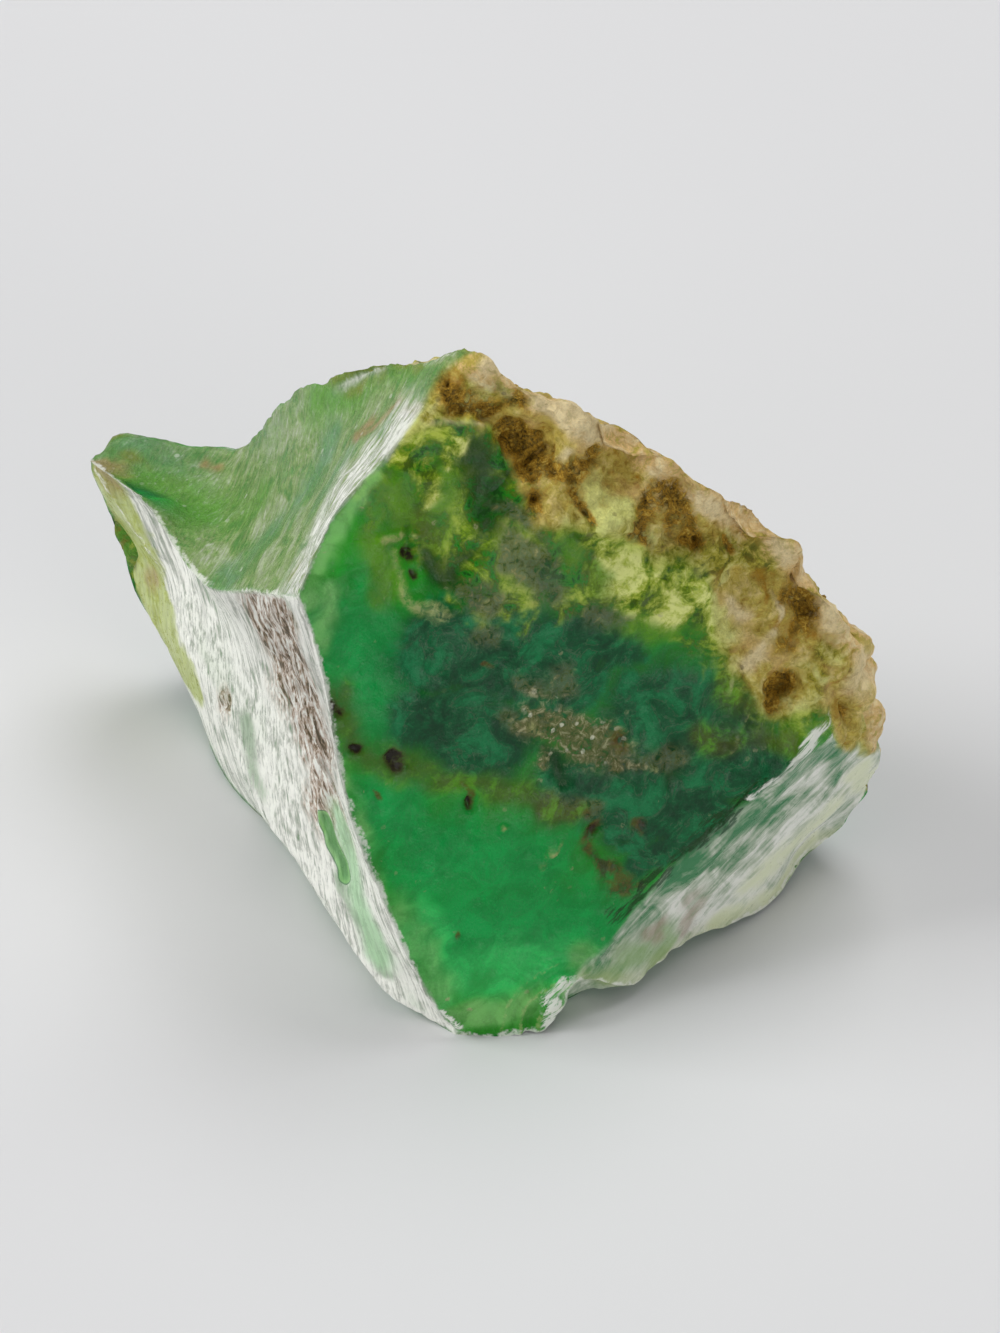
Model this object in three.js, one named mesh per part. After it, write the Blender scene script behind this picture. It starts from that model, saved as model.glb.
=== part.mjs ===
// Raw chrysoprase: one unpolished lump, broken along a few large fractures, with its own rind left on the
// top right edge. Millimetres, +Z up, +X to the right and +Y away from the broad front face. The lump
// stands on a flat patch underneath, and its origin is the middle of its footprint.

import * as THREE from 'three';
import { ImprovedNoise } from 'three/addons/math/ImprovedNoise.js';

// ---- Driving dimensions ----

const evenRounds = 2; // rounds of subdivision that the whole lump gets
const fineZones = ['front', 'rind', 'bevel', 'wall', 'hollow']; // these get one round more
const settleRounds = 6; // how often the cage is corrected so that the finished skin meets its corners
const easeRounds = 12; // how often the relief is eased where it rises more steeply than steepest
const longestMitre = 1.5; // how much further a ridge may move than the fractures beside it
const steepest = 0.5; // rise of the relief between two neighbouring points, as a share of their distance

// How many rounds a ridge stays sharp before it is rounded off.
const crisp = 9;
const softened = 2;
const blunt = 1;

// What the pseudo-random numbers are mixed from.
const cellMix = new THREE.Vector3(127.1, 311.7, 74.7);
const saltMix = 53.3;
const spreadMix = 43758.5453;

const stoneColour = 0x2f9a5c;
const stoneRoughness = 0.35;

// ---- Corners ----
// Measured from the toe, where the front face meets the ground: right, back, up.

const corners = {
  // toe and the chip beside it
  toeLeft: [-2.9, -0.2, 0],
  toe: [0, 0, 0],
  toeRight: [2.8, 0.9, 0.2],
  chipTop: [4.4, 2.2, 3.4],
  chipFloor: [4.9, 3.6, 0.8],
  spur: [8.4, 4.5, 1],

  // keel: the ridge between front and left wall, from the toe up to the shoulder
  keel1: [-5, -0.7, 3.6],
  keel2: [-8, 0.4, 10.7],
  keel3: [-11, 1.8, 18.4],
  keel4: [-12.9, 3.9, 26.5],
  shoulder: [-14.9, 5.1, 32],

  // arris: the ridge between front and hollow, from the shoulder up to the crown
  arris1: [-13.4, 8.8, 35.4],
  arris2: [-10.4, 11.9, 37.9],
  crown: [-5.9, 17.1, 42.7],

  // broad front face
  front1: [0.5, 1.7, 5],
  front2: [-2, 2.6, 11],
  front3: [4.5, 5.4, 10.5],
  front4: [-4, 4.7, 19],
  front5: [4, 8, 18.5],
  front6: [11, 10.5, 17],
  front7: [-6, 7, 27.5],
  front8: [2, 10.2, 27],
  front9: [-8.5, 9.4, 33.6],

  // where the green face runs out under the rind
  border1: [-4.8, 14.3, 38.4],
  border2: [-1, 12.6, 34.6],
  border3: [5.5, 13.8, 32],
  border4: [9.9, 13.1, 25.2],
  border5: [14.8, 14, 21],

  // rim: the rind's outer edge, from the crown down to the right
  rim1: [-2.4, 15.9, 41.2],
  rim2: [2, 16.1, 39.4],
  rim3: [9.2, 15.8, 34.9],
  rim4: [15.8, 17.2, 28.8],
  rim5: [18.8, 16.7, 23.9],
  rim6: [20.6, 18.2, 20.6],
  rim7: [23.1, 19.9, 9.2],

  // brink: the blunt ridge between front and bevel
  brink1: [6.6, 4.5, 5],
  brink2: [11.6, 8.3, 9.4],
  brink3: [15.1, 10.9, 12.7],
  brink4: [19.6, 14.6, 17.8],

  // bevel: the narrow facet at the lower right, and the sill it ends on
  bevel1: [12.2, 9.4, 5],
  bevel2: [17, 13.4, 8],
  bevel3: [21, 17, 11],
  sill1: [10.3, 6.8, 1.4],
  sill2: [12.9, 10, 1],
  sill3: [16.9, 13.7, 0.3],
  sill4: [21.2, 19, 1.6],

  // brow: the ridge between left wall and hollow, from the shoulder out to the lip
  brow1: [-18.9, 12.9, 24.8],
  brow2: [-21.8, 18.3, 20.3],
  brow3: [-25.6, 23.7, 21],
  brow4: [-28.4, 27.6, 19.8],
  lipTip: [-30.3, 29.9, 19.1],

  // left wall, dished, and the eave that it ends on
  wall1: [-24.1, 26, 15.9],
  wall2: [-20.5, 20.4, 15],
  wall3: [-16.4, 11.9, 18],
  wall4: [-12.9, 6.6, 16.8],
  wall5: [-9.4, 2.9, 8],
  eave1: [-8, 1.7, 2],
  eave2: [-11.6, 4.9, 5],
  eave3: [-14.5, 8.1, 6.5],
  eave4: [-17.6, 13.3, 6.7],
  eave5: [-21.4, 20.8, 9],
  eave6: [-24.6, 27.4, 10.2],
  eave7: [-26.3, 27.6, 13.6],

  // lip: the outer side of the thin left edge
  lip1: [-26.3, 30.4, 5.5],
  lip2: [-28.8, 31.7, 10.8],

  // hollow: the big scooped fracture at the upper left, and the crest behind it
  hollow1: [-24.2, 27, 19.5],
  hollow2: [-20.5, 23.2, 21],
  hollow3: [-16.6, 19, 27],
  hollow4: [-13.2, 18.4, 33.4],
  hollow5: [-9.1, 16.9, 40.7],
  crest1: [-28.9, 32.4, 18.7],
  crest2: [-25.7, 32.3, 19.4],
  crest3: [-20.8, 30.5, 20.9],
  crest4: [-18.8, 28.5, 25.2],
  crest5: [-16.6, 25.6, 31.2],
  crest6: [-14.6, 23.5, 33.5],
  crest7: [-11.4, 20.5, 38.1],
  crest8: [-8.4, 18.5, 40.6],

  // back
  back1: [17, 23.4, 7.6],
  back2: [9, 30, 9],
  back3: [-2, 34, 9.5],
  back4: [-14, 36, 8.5],
  back5: [18.6, 21.6, 14.8],
  back6: [11.5, 25, 19],
  back7: [3, 27.5, 23],
  back8: [-6.5, 28.5, 25],
  back9: [-15.5, 32.2, 16.5],
  back10: [18.4, 19.6, 22],
  back11: [11.8, 20.4, 28],
  back12: [4.5, 21.6, 32],
  back13: [-3.5, 23, 35],
  back14: [-10.8, 26, 30],
  back15: [-16.6, 31, 21.5],
  heel1: [14, 27, 1.5],
  heel2: [4, 31.5, 1],
  heel3: [-7, 34.5, 1.2],
  heel4: [-16, 34.5, 1.5],

  // bed: the flat patch that the lump rests on
  bed1: [-22.2, 29, 0],
  bed2: [-21, 23.6, 0],
  bed3: [-18.4, 19, 0],
  bed4: [-14.6, 14.6, 0],
  bed5: [-8.4, 4.8, 0],
  bed6: [8, 7.4, 0],
  bed7: [14.5, 13.6, 0],
  bed8: [18, 19.5, 0],
  bed9: [8, 27, 0],
  bed10: [-8, 31.5, 0],
};

// ---- Fractures ----
// Each is stitched from rows of corners, listed so that the rows climb as the corners run to the right,
// seen from outside the stone.

const fractures = {
  front: [
    [
      ['toeLeft', 'toe', 'toeRight', 'chipTop'],
      ['keel1', 'front1', 'brink1'],
      ['keel2', 'front2', 'front3', 'brink2'],
      ['keel3', 'front4', 'front5', 'front6', 'brink3'],
      ['keel4', 'front7', 'front8', 'border4', 'border5', 'brink4'],
    ],
    [
      ['keel4', 'front7', 'front8', 'border4'],
      ['shoulder', 'front9', 'border2', 'border3'],
    ],
    [
      ['shoulder', 'front9'],
      ['arris1', 'arris2'],
    ],
    [
      ['toeRight', 'chipFloor', 'spur'],
      ['toeRight', 'chipTop', 'spur'],
    ],
  ],
  rind: [
    [
      ['border4', 'border5', 'brink4'],
      ['border3', 'rim4', 'rim5', 'rim6'],
    ],
    [
      ['front9', 'border2', 'border3', 'rim4'],
      ['arris2', 'border1', 'rim1', 'rim2', 'rim3', 'rim4'],
    ],
    [
      ['arris2', 'border1', 'rim1'],
      ['crown', 'rim1'],
    ],
    [
      ['brink4', 'rim7'],
      ['brink4', 'rim6'],
    ],
  ],
  bevel: [
    [
      ['spur', 'sill1', 'sill2', 'sill3', 'sill4'],
      ['chipTop', 'bevel1', 'bevel2', 'bevel3', 'rim7'],
      ['chipTop', 'brink1', 'brink2', 'brink3', 'brink4', 'rim7'],
    ],
  ],
  wall: [
    [
      ['lipTip', 'eave7', 'eave6', 'eave5', 'eave4', 'eave3', 'eave2', 'eave1', 'toeLeft'],
      ['lipTip', 'wall1', 'wall2', 'wall3', 'wall4', 'wall5', 'toeLeft'],
      [
        'lipTip', 'brow4', 'brow3', 'brow2', 'brow1', 'shoulder',
        'keel4', 'keel3', 'keel2', 'keel1', 'toeLeft',
      ],
    ],
  ],
  hollow: [
    [
      [
        'lipTip', 'brow4', 'brow3', 'brow2', 'brow1', 'shoulder',
        'arris1', 'arris2', 'crown',
      ],
      ['lipTip', 'hollow1', 'hollow2', 'hollow3', 'hollow4', 'hollow5', 'crown'],
      [
        'lipTip', 'crest1', 'crest2', 'crest3', 'crest4', 'crest5',
        'crest6', 'crest7', 'crest8', 'crown',
      ],
    ],
  ],
  overhang: [
    [
      ['bed2', 'bed3', 'bed4', 'bed5', 'toeLeft'],
      ['eave5', 'eave4', 'eave3', 'eave2', 'eave1', 'toeLeft'],
    ],
    [
      ['bed2', 'eave5', 'eave6', 'eave7', 'lipTip'],
      ['bed1', 'lip1', 'lip2', 'lipTip'],
    ],
  ],
  back: [
    [
      ['sill4', 'heel1', 'heel2', 'heel3', 'heel4', 'bed1'],
      ['rim7', 'back1', 'back2', 'back3', 'back4', 'lip1'],
      ['rim7', 'back5', 'back6', 'back7', 'back8', 'back9', 'lip2'],
      ['rim7', 'back10', 'back11', 'back12', 'back13', 'back14', 'back15', 'lip2'],
      [
        'rim7', 'rim6', 'rim5', 'rim4', 'rim3', 'rim2', 'rim1', 'crown', 'crest8', 'crest7',
        'crest6', 'crest5', 'crest4', 'crest3', 'crest2', 'crest1', 'lipTip',
      ],
    ],
  ],
  under: [
    [
      ['toe', 'bed6', 'bed7', 'bed8'],
      ['toe', 'toeRight', 'chipFloor', 'spur', 'sill1', 'sill2', 'sill3', 'sill4'],
    ],
    [
      ['bed1', 'heel4', 'heel3', 'heel2', 'heel1', 'sill4'],
      ['bed1', 'bed10', 'bed9', 'bed8'],
    ],
  ],
  bed: [
    [
      ['bed1', 'bed10', 'bed9', 'bed8'],
      ['bed1', 'bed2', 'bed3', 'bed4', 'bed5', 'toeLeft', 'toe', 'bed6', 'bed7', 'bed8'],
    ],
  ],
};

const ridges = [
  [crisp, ['toeLeft', 'keel1', 'keel2', 'keel3', 'keel4', 'shoulder', 'arris1', 'arris2']],
  [blunt, ['arris2', 'crown']],
  [crisp, ['shoulder', 'brow1', 'brow2', 'brow3', 'brow4', 'lipTip']],
  [crisp, ['toeLeft', 'eave1', 'eave2', 'eave3', 'eave4', 'eave5', 'eave6', 'eave7', 'lipTip']],
  [crisp, ['lipTip', 'crest1', 'crest2', 'crest3', 'crest4', 'crest5', 'crest6']],
  [softened, ['crest6', 'crest7', 'crest8', 'crown']],
  [softened, ['crown', 'rim1', 'rim2', 'rim3', 'rim4', 'rim5', 'rim6', 'rim7']],
  [softened, ['chipTop', 'brink1', 'brink2', 'brink3', 'brink4']],
  [crisp, ['toeLeft', 'toe', 'toeRight', 'chipTop', 'spur', 'sill1', 'sill2', 'sill3', 'sill4']],
  [crisp, ['toeRight', 'chipFloor', 'spur']],
  [softened, ['sill4', 'rim7']],
  [softened, ['bed1', 'lip1', 'lip2', 'lipTip']],
  [softened, ['back10', 'back11', 'back12', 'back13']],
  [softened, ['back6', 'back7', 'back8', 'back9']],
  [softened, ['back2', 'back3', 'back4']],
  [
    crisp,
    [
      'toeLeft', 'toe', 'bed6', 'bed7', 'bed8', 'bed9', 'bed10',
      'bed1', 'bed2', 'bed3', 'bed4', 'bed5', 'toeLeft',
    ],
  ],
];

// ---- Cage ----

function edgeKey(a, b) {
  return a < b ? `${a}_${b}` : `${b}_${a}`;
}

// Fills the strip between two rows, each time across the shorter diagonal.
function stitch(lower, upper, at) {
  const triangles = [];
  let i = 0;
  let j = 0;
  while (i < lower.length - 1 || j < upper.length - 1) {
    const alongLower = i < lower.length - 1 ? at(lower[i + 1]).distanceTo(at(upper[j])) : Infinity;
    const alongUpper = j < upper.length - 1 ? at(upper[j + 1]).distanceTo(at(lower[i])) : Infinity;
    if (alongLower <= alongUpper) {
      triangles.push([lower[i], lower[i + 1], upper[j]]);
      i += 1;
    } else {
      triangles.push([lower[i], upper[j + 1], upper[j]]);
      j += 1;
    }
  }
  return triangles.filter(([a, b, c]) => a !== b && b !== c && c !== a);
}

function buildCage() {
  const names = Object.keys(corners);
  const points = names.map((name) => new THREE.Vector3(...corners[name]));
  const numberOf = (name) => names.indexOf(name);
  const triangles = [];
  for (const [zone, patches] of Object.entries(fractures)) {
    for (const rows of patches) {
      const numbered = rows.map((row) => row.map(numberOf));
      for (let k = 0; k + 1 < numbered.length; k += 1) {
        for (const corner of stitch(numbered[k], numbered[k + 1], (n) => points[n])) {
          triangles.push({ corner, zone });
        }
      }
    }
  }
  const sharpness = new Map();
  for (const [level, ridge] of ridges) {
    for (let k = 0; k + 1 < ridge.length; k += 1) {
      sharpness.set(edgeKey(numberOf(ridge[k]), numberOf(ridge[k + 1])), level);
    }
  }
  return { points, triangles, sharpness };
}

// ---- Skin ----

// One round of Loop subdivision. Triangles in a split zone become four, and those beside them are
// divided to match. A ridge with sharpness left keeps its line, and so does the edge of a split zone.
function refine({ points, triangles, sharpness }, isSplit) {
  const edges = new Map();
  for (const { corner, zone } of triangles) {
    for (let k = 0; k < 3; k += 1) {
      const [a, b, across] = [corner[k], corner[(k + 1) % 3], corner[(k + 2) % 3]];
      const key = edgeKey(a, b);
      const edge = edges.get(key) ?? { a, b, across: [], split: false, inside: true };
      edge.across.push(across);
      edge.split ||= isSplit(zone);
      edge.inside &&= isSplit(zone);
      edges.set(key, edge);
    }
  }

  const rings = points.map(() => ({ near: [], alongRidge: [], split: true }));
  for (const [key, { a, b, split }] of edges) {
    for (const [here, there] of [[a, b], [b, a]]) {
      const ring = rings[here];
      ring.near.push(points[there]);
      ring.split &&= split;
      if (sharpness.get(key) > 0) ring.alongRidge.push(points[there]);
    }
  }
  const refined = points.map((point, n) => relax(point, rings[n]));

  const middles = new Map();
  const childSharpness = new Map();
  for (const [key, { a, b, across, split, inside }] of edges) {
    const level = sharpness.get(key) ?? 0;
    if (!split) {
      if (level > 0) childSharpness.set(key, level);
      continue;
    }
    const middle = points[a].clone().add(points[b]);
    if (level > 0 || !inside) {
      middle.multiplyScalar(1 / 2);
    } else {
      middle.multiplyScalar(3 / 8);
      middle.addScaledVector(points[across[0]], 1 / 8);
      middle.addScaledVector(points[across[1]], 1 / 8);
    }
    const number = refined.push(middle) - 1;
    middles.set(key, number);
    if (level > 1) {
      childSharpness.set(edgeKey(a, number), level - 1);
      childSharpness.set(edgeKey(number, b), level - 1);
    }
  }

  const children = triangles.flatMap(({ corner, zone }) => (
    divide(corner, middles).map((child) => ({ corner: child, zone }))
  ));
  return { points: refined, triangles: children, sharpness: childSharpness };
}

// Where a point moves in one round: it stays at a corner, slides along a ridge, or sinks into the skin.
function relax(point, { near, alongRidge, split }) {
  if (!split || alongRidge.length > 2) return point.clone();
  if (alongRidge.length === 2) {
    return point.clone().multiplyScalar(3 / 4)
      .addScaledVector(alongRidge[0], 1 / 8)
      .addScaledVector(alongRidge[1], 1 / 8);
  }
  const count = near.length;
  const share = (5 / 8 - (3 / 8 + Math.cos((2 * Math.PI) / count) / 4) ** 2) / count;
  const relaxed = point.clone().multiplyScalar(1 - count * share);
  for (const other of near) relaxed.addScaledVector(other, share);
  return relaxed;
}

// Divides one triangle by the new points on its edges: all three, two, one or none.
function divide([a, b, c], middles) {
  const [ab, bc, ca] = [[a, b], [b, c], [c, a]].map(([p, q]) => middles.get(edgeKey(p, q)));
  const found = [ab, bc, ca].filter((number) => number !== undefined).length;
  if (found === 3) return [[a, ab, ca], [ab, b, bc], [ca, bc, c], [ab, bc, ca]];
  if (found === 0) return [[a, b, c]];
  if (found === 1) {
    if (ab !== undefined) return [[a, ab, c], [ab, b, c]];
    if (bc !== undefined) return [[a, b, bc], [a, bc, c]];
    return [[a, b, ca], [b, c, ca]];
  }
  if (ab === undefined) return [[a, b, bc], [a, bc, ca], [ca, bc, c]];
  if (bc === undefined) return [[a, ab, ca], [ab, b, ca], [ca, b, c]];
  return [[a, ab, c], [ab, b, bc], [ab, bc, c]];
}

function grow(mesh) {
  let skin = mesh;
  for (let round = 0; round < evenRounds; round += 1) skin = refine(skin, () => true);
  return refine(skin, (zone) => fineZones.includes(zone));
}

// Moves the cage until the refined skin passes through the corners it was drawn with.
function settle(drawn) {
  const points = drawn.points.map((point) => point.clone());
  for (let round = 0; round < settleRounds; round += 1) {
    const skin = grow({ ...drawn, points });
    drawn.points.forEach((target, n) => points[n].add(target).sub(skin.points[n]));
  }
  return { ...drawn, points };
}

// ---- Relief ----

const perlin = new ImprovedNoise();

// Broad, soft waves.
function swell(point, { size }) {
  return perlin.noise(point.x / size, point.y / size, point.z / size);
}

// Waves drawn out along the line between two corners, as fibres and ripples run on a fracture.
function grain(point, { size, length, from, to }) {
  const along = new THREE.Vector3(...corners[to]).sub(new THREE.Vector3(...corners[from])).normalize();
  const run = point.dot(along);
  return swell(point.clone().addScaledVector(along, run * (size / length - 1)), { size });
}

// Steps with flat treads and steep risers. The tread takes up its share of each step.
function ledges(point, { size, steps, treadShare }) {
  const rise = swell(point, { size }) * steps;
  const tread = Math.floor(rise);
  return (tread + THREE.MathUtils.smoothstep(rise - tread, treadShare, 1)) / steps;
}

// A pseudo-random number from 0 to 1 that belongs to one cell of a grid.
function chance(cell, salt) {
  const wave = Math.sin(cell.dot(cellMix) + salt * saltMix) * spreadMix;
  return wave - Math.floor(wave);
}

// Rounded knobs, one in each cell of a grid, with creases between them. A knob's top stands as far out
// of the smooth skin as its base says, and its creases lie below the skin.
function knobs(point, { size, base }) {
  const spot = point.clone().divideScalar(size);
  const home = spot.clone().floor();
  const besideIt = [-1, 0, 1];
  let nearest = 1;
  for (const x of besideIt) {
    for (const y of besideIt) {
      for (const z of besideIt) {
        const cell = new THREE.Vector3(x, y, z).add(home);
        const centre = new THREE.Vector3(chance(cell, 0), chance(cell, 1), chance(cell, 2)).add(cell);
        nearest = Math.min(nearest, centre.distanceTo(spot));
      }
    }
  }
  return base - nearest * nearest;
}

// The layers of relief on each kind of fracture: how high each stands and how far apart its waves are.
const relief = {
  front: [
    { shape: swell, height: 0.35, size: 7 },
    { shape: swell, height: 0.12, size: 2.6 },
  ],
  rind: [
    { shape: knobs, height: 1, size: 3.2, base: 0.35 },
    { shape: swell, height: 0.5, size: 5 },
  ],
  bevel: [
    { shape: swell, height: 0.3, size: 5 },
    { shape: grain, height: 0.3, size: 2, length: 9, from: 'crown', to: 'brow2' },
  ],
  wall: [
    { shape: swell, height: 0.3, size: 6 },
    { shape: grain, height: 0.3, size: 1.8, length: 9, from: 'shoulder', to: 'toe' },
  ],
  hollow: [
    { shape: swell, height: 0.3, size: 6 },
    { shape: grain, height: 0.3, size: 2, length: 9, from: 'crown', to: 'brow2' },
  ],
  overhang: [{ shape: swell, height: 0.4, size: 5 }],
  back: [
    { shape: ledges, height: 0.7, size: 9, steps: 4, treadShare: 0.6 },
    { shape: swell, height: 0.3, size: 3 },
  ],
  under: [{ shape: swell, height: 0.3, size: 4 }],
  bed: [],
};

function standing(zone, point) {
  return relief[zone].reduce((sum, layer) => sum + layer.height * layer.shape(point, layer), 0);
}

// Hollows that rotted out of the rind and the face: the place, how wide and how deep.
const pits = [
  { place: [-1.6, 13.6, 37.8], radius: 2.3, depth: 1.1 },
  { place: [3.2, 13.8, 35.6], radius: 1.9, depth: 0.9 },
  { place: [8.4, 14.2, 31.5], radius: 2.4, depth: 1 },
  { place: [16.4, 15.2, 24.4], radius: 1.9, depth: 0.9 },
  { place: [15.2, 13.8, 19.8], radius: 1.7, depth: 0.7 },
  { place: [-8.6, 9.6, 33.9], radius: 1.4, depth: 0.6 },
];

function pitDepth(point) {
  let depth = 0;
  for (const { place, radius, depth: deepest } of pits) {
    const away = point.distanceTo(new THREE.Vector3(...place)) / radius;
    if (away < 1) depth += deepest * (1 - away * away) ** 2;
  }
  return depth;
}

// Lowers whichever end of an edge stands too far above the other, so that no relief folds over.
function ease(heights, points, triangles) {
  for (let round = 0; round < easeRounds; round += 1) {
    for (const { corner } of triangles) {
      for (let k = 0; k < 3; k += 1) {
        const [a, b] = [corner[k], corner[(k + 1) % 3]];
        const most = steepest * points[a].distanceTo(points[b]);
        heights[a] = Math.min(heights[a], heights[b] + most);
        heights[b] = Math.min(heights[b], heights[a] + most);
      }
    }
  }
}

// Lifts each point of the skin by the relief of the fractures that meet there. Each fracture counts once,
// however many triangles it has at the point. Nothing goes below the ground, and the bed stays flat.
function carve({ points, triangles }) {
  const meeting = points.map(() => new Map());
  for (const { corner, zone } of triangles) {
    const [a, b, c] = corner.map((n) => points[n]);
    const facing = b.clone().sub(a).cross(c.clone().sub(a));
    for (const n of corner) {
      if (!meeting[n].has(zone)) meeting[n].set(zone, new THREE.Vector3());
      meeting[n].get(zone).add(facing);
    }
  }
  const heights = points.map((point, n) => {
    const zones = [...meeting[n].keys()];
    const height = zones.reduce((sum, zone) => sum + standing(zone, point) / zones.length, 0);
    return height - pitDepth(point);
  });
  ease(heights, points, triangles);
  return points.map((point, n) => {
    if (meeting[n].has('bed')) return point.clone().setZ(0);
    const normal = new THREE.Vector3();
    for (const facing of meeting[n].values()) normal.add(facing.normalize());
    const mitre = Math.min(meeting[n].size / normal.length(), longestMitre);
    const carved = point.clone().addScaledVector(normal.normalize(), heights[n] * mitre);
    return carved.setZ(Math.max(carved.z, 0));
  });
}

// ---- Stone ----

function buildStone() {
  const skin = grow(settle(buildCage()));
  const geometry = new THREE.BufferGeometry();
  const positions = carve(skin).flatMap((point) => point.toArray());
  geometry.setAttribute('position', new THREE.Float32BufferAttribute(positions, 3));
  geometry.setIndex(skin.triangles.flatMap(({ corner }) => corner));
  geometry.computeBoundingBox();
  const middle = geometry.boundingBox.getCenter(new THREE.Vector3());
  geometry.translate(-middle.x, -middle.y, 0);
  geometry.computeVertexNormals();

  const material = new THREE.MeshStandardMaterial({
    color: stoneColour,
    roughness: stoneRoughness,
    metalness: 0,
    flatShading: true,
  });
  const stone = new THREE.Mesh(geometry, material);
  stone.name = 'stone';
  return stone;
}

const lump = new THREE.Group();
lump.add(buildStone());

export default lump;
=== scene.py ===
import math

import bmesh
import bpy
import numpy as np
from mathutils import Euler, Matrix, Vector, noise


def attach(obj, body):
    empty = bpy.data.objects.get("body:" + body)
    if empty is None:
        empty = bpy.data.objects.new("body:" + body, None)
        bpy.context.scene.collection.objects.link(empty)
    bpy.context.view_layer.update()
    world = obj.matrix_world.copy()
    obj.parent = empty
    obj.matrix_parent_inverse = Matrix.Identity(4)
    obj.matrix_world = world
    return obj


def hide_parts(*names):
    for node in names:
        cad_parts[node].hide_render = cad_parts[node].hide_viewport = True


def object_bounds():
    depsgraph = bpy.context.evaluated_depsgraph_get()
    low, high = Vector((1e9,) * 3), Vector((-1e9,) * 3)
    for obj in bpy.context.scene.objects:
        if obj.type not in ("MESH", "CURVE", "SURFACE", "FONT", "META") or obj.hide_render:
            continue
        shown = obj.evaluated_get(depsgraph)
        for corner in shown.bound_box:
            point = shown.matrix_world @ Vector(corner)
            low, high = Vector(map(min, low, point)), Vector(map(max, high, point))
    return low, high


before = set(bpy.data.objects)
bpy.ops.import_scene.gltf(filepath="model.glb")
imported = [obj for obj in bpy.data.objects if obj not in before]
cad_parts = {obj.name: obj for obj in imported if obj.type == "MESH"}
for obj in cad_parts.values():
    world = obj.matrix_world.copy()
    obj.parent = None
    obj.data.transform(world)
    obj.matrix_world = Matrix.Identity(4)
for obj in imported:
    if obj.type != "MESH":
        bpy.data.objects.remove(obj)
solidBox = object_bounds()
print("frame loaded")

mm = 0.001  # the stone is shaped in millimetres and stored in metres

# Lines and places on the stone, in mm from its toe, as in the part's source.
toe = np.array([3.59, -17.76, 0.0])

lines = {
    "keel": [(-2.9, -0.2, 0), (-5, -0.7, 3.6), (-8, 0.4, 10.7), (-11, 1.8, 18.4),
             (-12.9, 3.9, 26.5), (-14.9, 5.1, 32)],
    "arris": [(-14.9, 5.1, 32), (-13.4, 8.8, 35.4), (-10.4, 11.9, 37.9), (-5.9, 17.1, 42.7)],
    "brow": [(-14.9, 5.1, 32), (-18.9, 12.9, 24.8), (-21.8, 18.3, 20.3), (-25.6, 23.7, 21),
             (-28.4, 27.6, 19.8), (-30.3, 29.9, 19.1)],
    "eave": [(-2.9, -0.2, 0), (-8, 1.7, 2), (-11.6, 4.9, 5), (-14.5, 8.1, 6.5), (-17.6, 13.3, 6.7),
             (-21.4, 20.8, 9), (-24.6, 27.4, 10.2), (-26.3, 27.6, 13.6), (-30.3, 29.9, 19.1)],
    "crest": [(-30.3, 29.9, 19.1), (-28.9, 32.4, 18.7), (-25.7, 32.3, 19.4), (-20.8, 30.5, 20.9),
              (-18.8, 28.5, 25.2), (-16.6, 25.6, 31.2), (-14.6, 23.5, 33.5), (-11.4, 20.5, 38.1),
              (-5.9, 17.1, 42.7)],
    "rim": [(-5.9, 17.1, 42.7), (2, 16.1, 39.4), (9.2, 15.8, 34.9), (15.8, 17.2, 28.8),
            (18.8, 16.7, 23.9), (20.6, 18.2, 20.6), (23.1, 19.9, 9.2)],
    "brink": [(4.4, 2.2, 3.4), (6.6, 4.5, 5), (11.6, 8.3, 9.4), (15.1, 10.9, 12.7), (19.6, 14.6, 17.8)],
    "sill": [(-2.9, -0.2, 0), (0, 0, 0), (2.8, 0.9, 0.2), (4.4, 2.2, 3.4), (8.4, 4.5, 1),
             (10.3, 6.8, 1.4), (16.9, 13.7, 0.3), (21.2, 19, 1.6)],
    "lip": [(-22.6, 24, 6), (-23.6, 26, 5.5), (-25.6, 29, 9.6), (-27.2, 28.4, 14.5), (-30.3, 29.9, 19.1)],
    "lipBack": [(-26.3, 30.4, 5.5), (-28.8, 31.7, 10.8), (-30.3, 29.9, 19.1)],
}


def onStone(place):
    return np.array(place, float) + toe


def direction(start, end):
    line = np.array(end, float) - np.array(start, float)
    return line / np.linalg.norm(line)


runs = {  # how the fibres and ripples of a fracture run
    "wall": direction(lines["keel"][-1], lines["keel"][0]),
    "bevel": direction(lines["brink"][0], lines["brink"][-1]),
    "hollow": direction((0, 0, 0), (-3.2, -8.5, -4.3)),
    "bundle": direction(lines["arris"][-1], lines["arris"][0]),
    "back": direction((0, 0, 0), (6, 2, -5)),
}


# Small tools for numbers held by the points of a mesh

def fade(values, low, high):
    share = np.clip((values - low) / (high - low), 0, 1)
    return share * share * (3 - 2 * share)


def drawnOut(points, run, stretch):
    along = points @ run
    return points + np.outer(along * (1 / stretch - 1), run)


def waves(points, size, shift=0.0):
    spots = points / size + shift
    return np.array([noise.noise(spot) for spot in spots.tolist()])


def rough(points, size, octaves=3, shift=0.0):
    spots = points / size + shift
    return np.array([noise.fractal(spot, 0.8, 2.1, octaves) for spot in spots.tolist()])


def cells(points, size, shift=0.0):
    spots = points / size + shift
    found = np.array([noise.voronoi(spot)[0][:2] for spot in spots.tolist()])
    return found[:, 0], found[:, 1]


def distanceTo(points, line):
    nearest = np.full(len(points), 1e6)
    for start, end in zip(line[:-1], line[1:]):
        start, end = onStone(start), onStone(end)
        span = end - start
        share = np.clip((points - start) @ span / (span @ span), 0, 1)
        away = np.linalg.norm(points - start - np.outer(share, span), axis=1)
        nearest = np.minimum(nearest, away)
    return nearest


# The stone: skin

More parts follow.
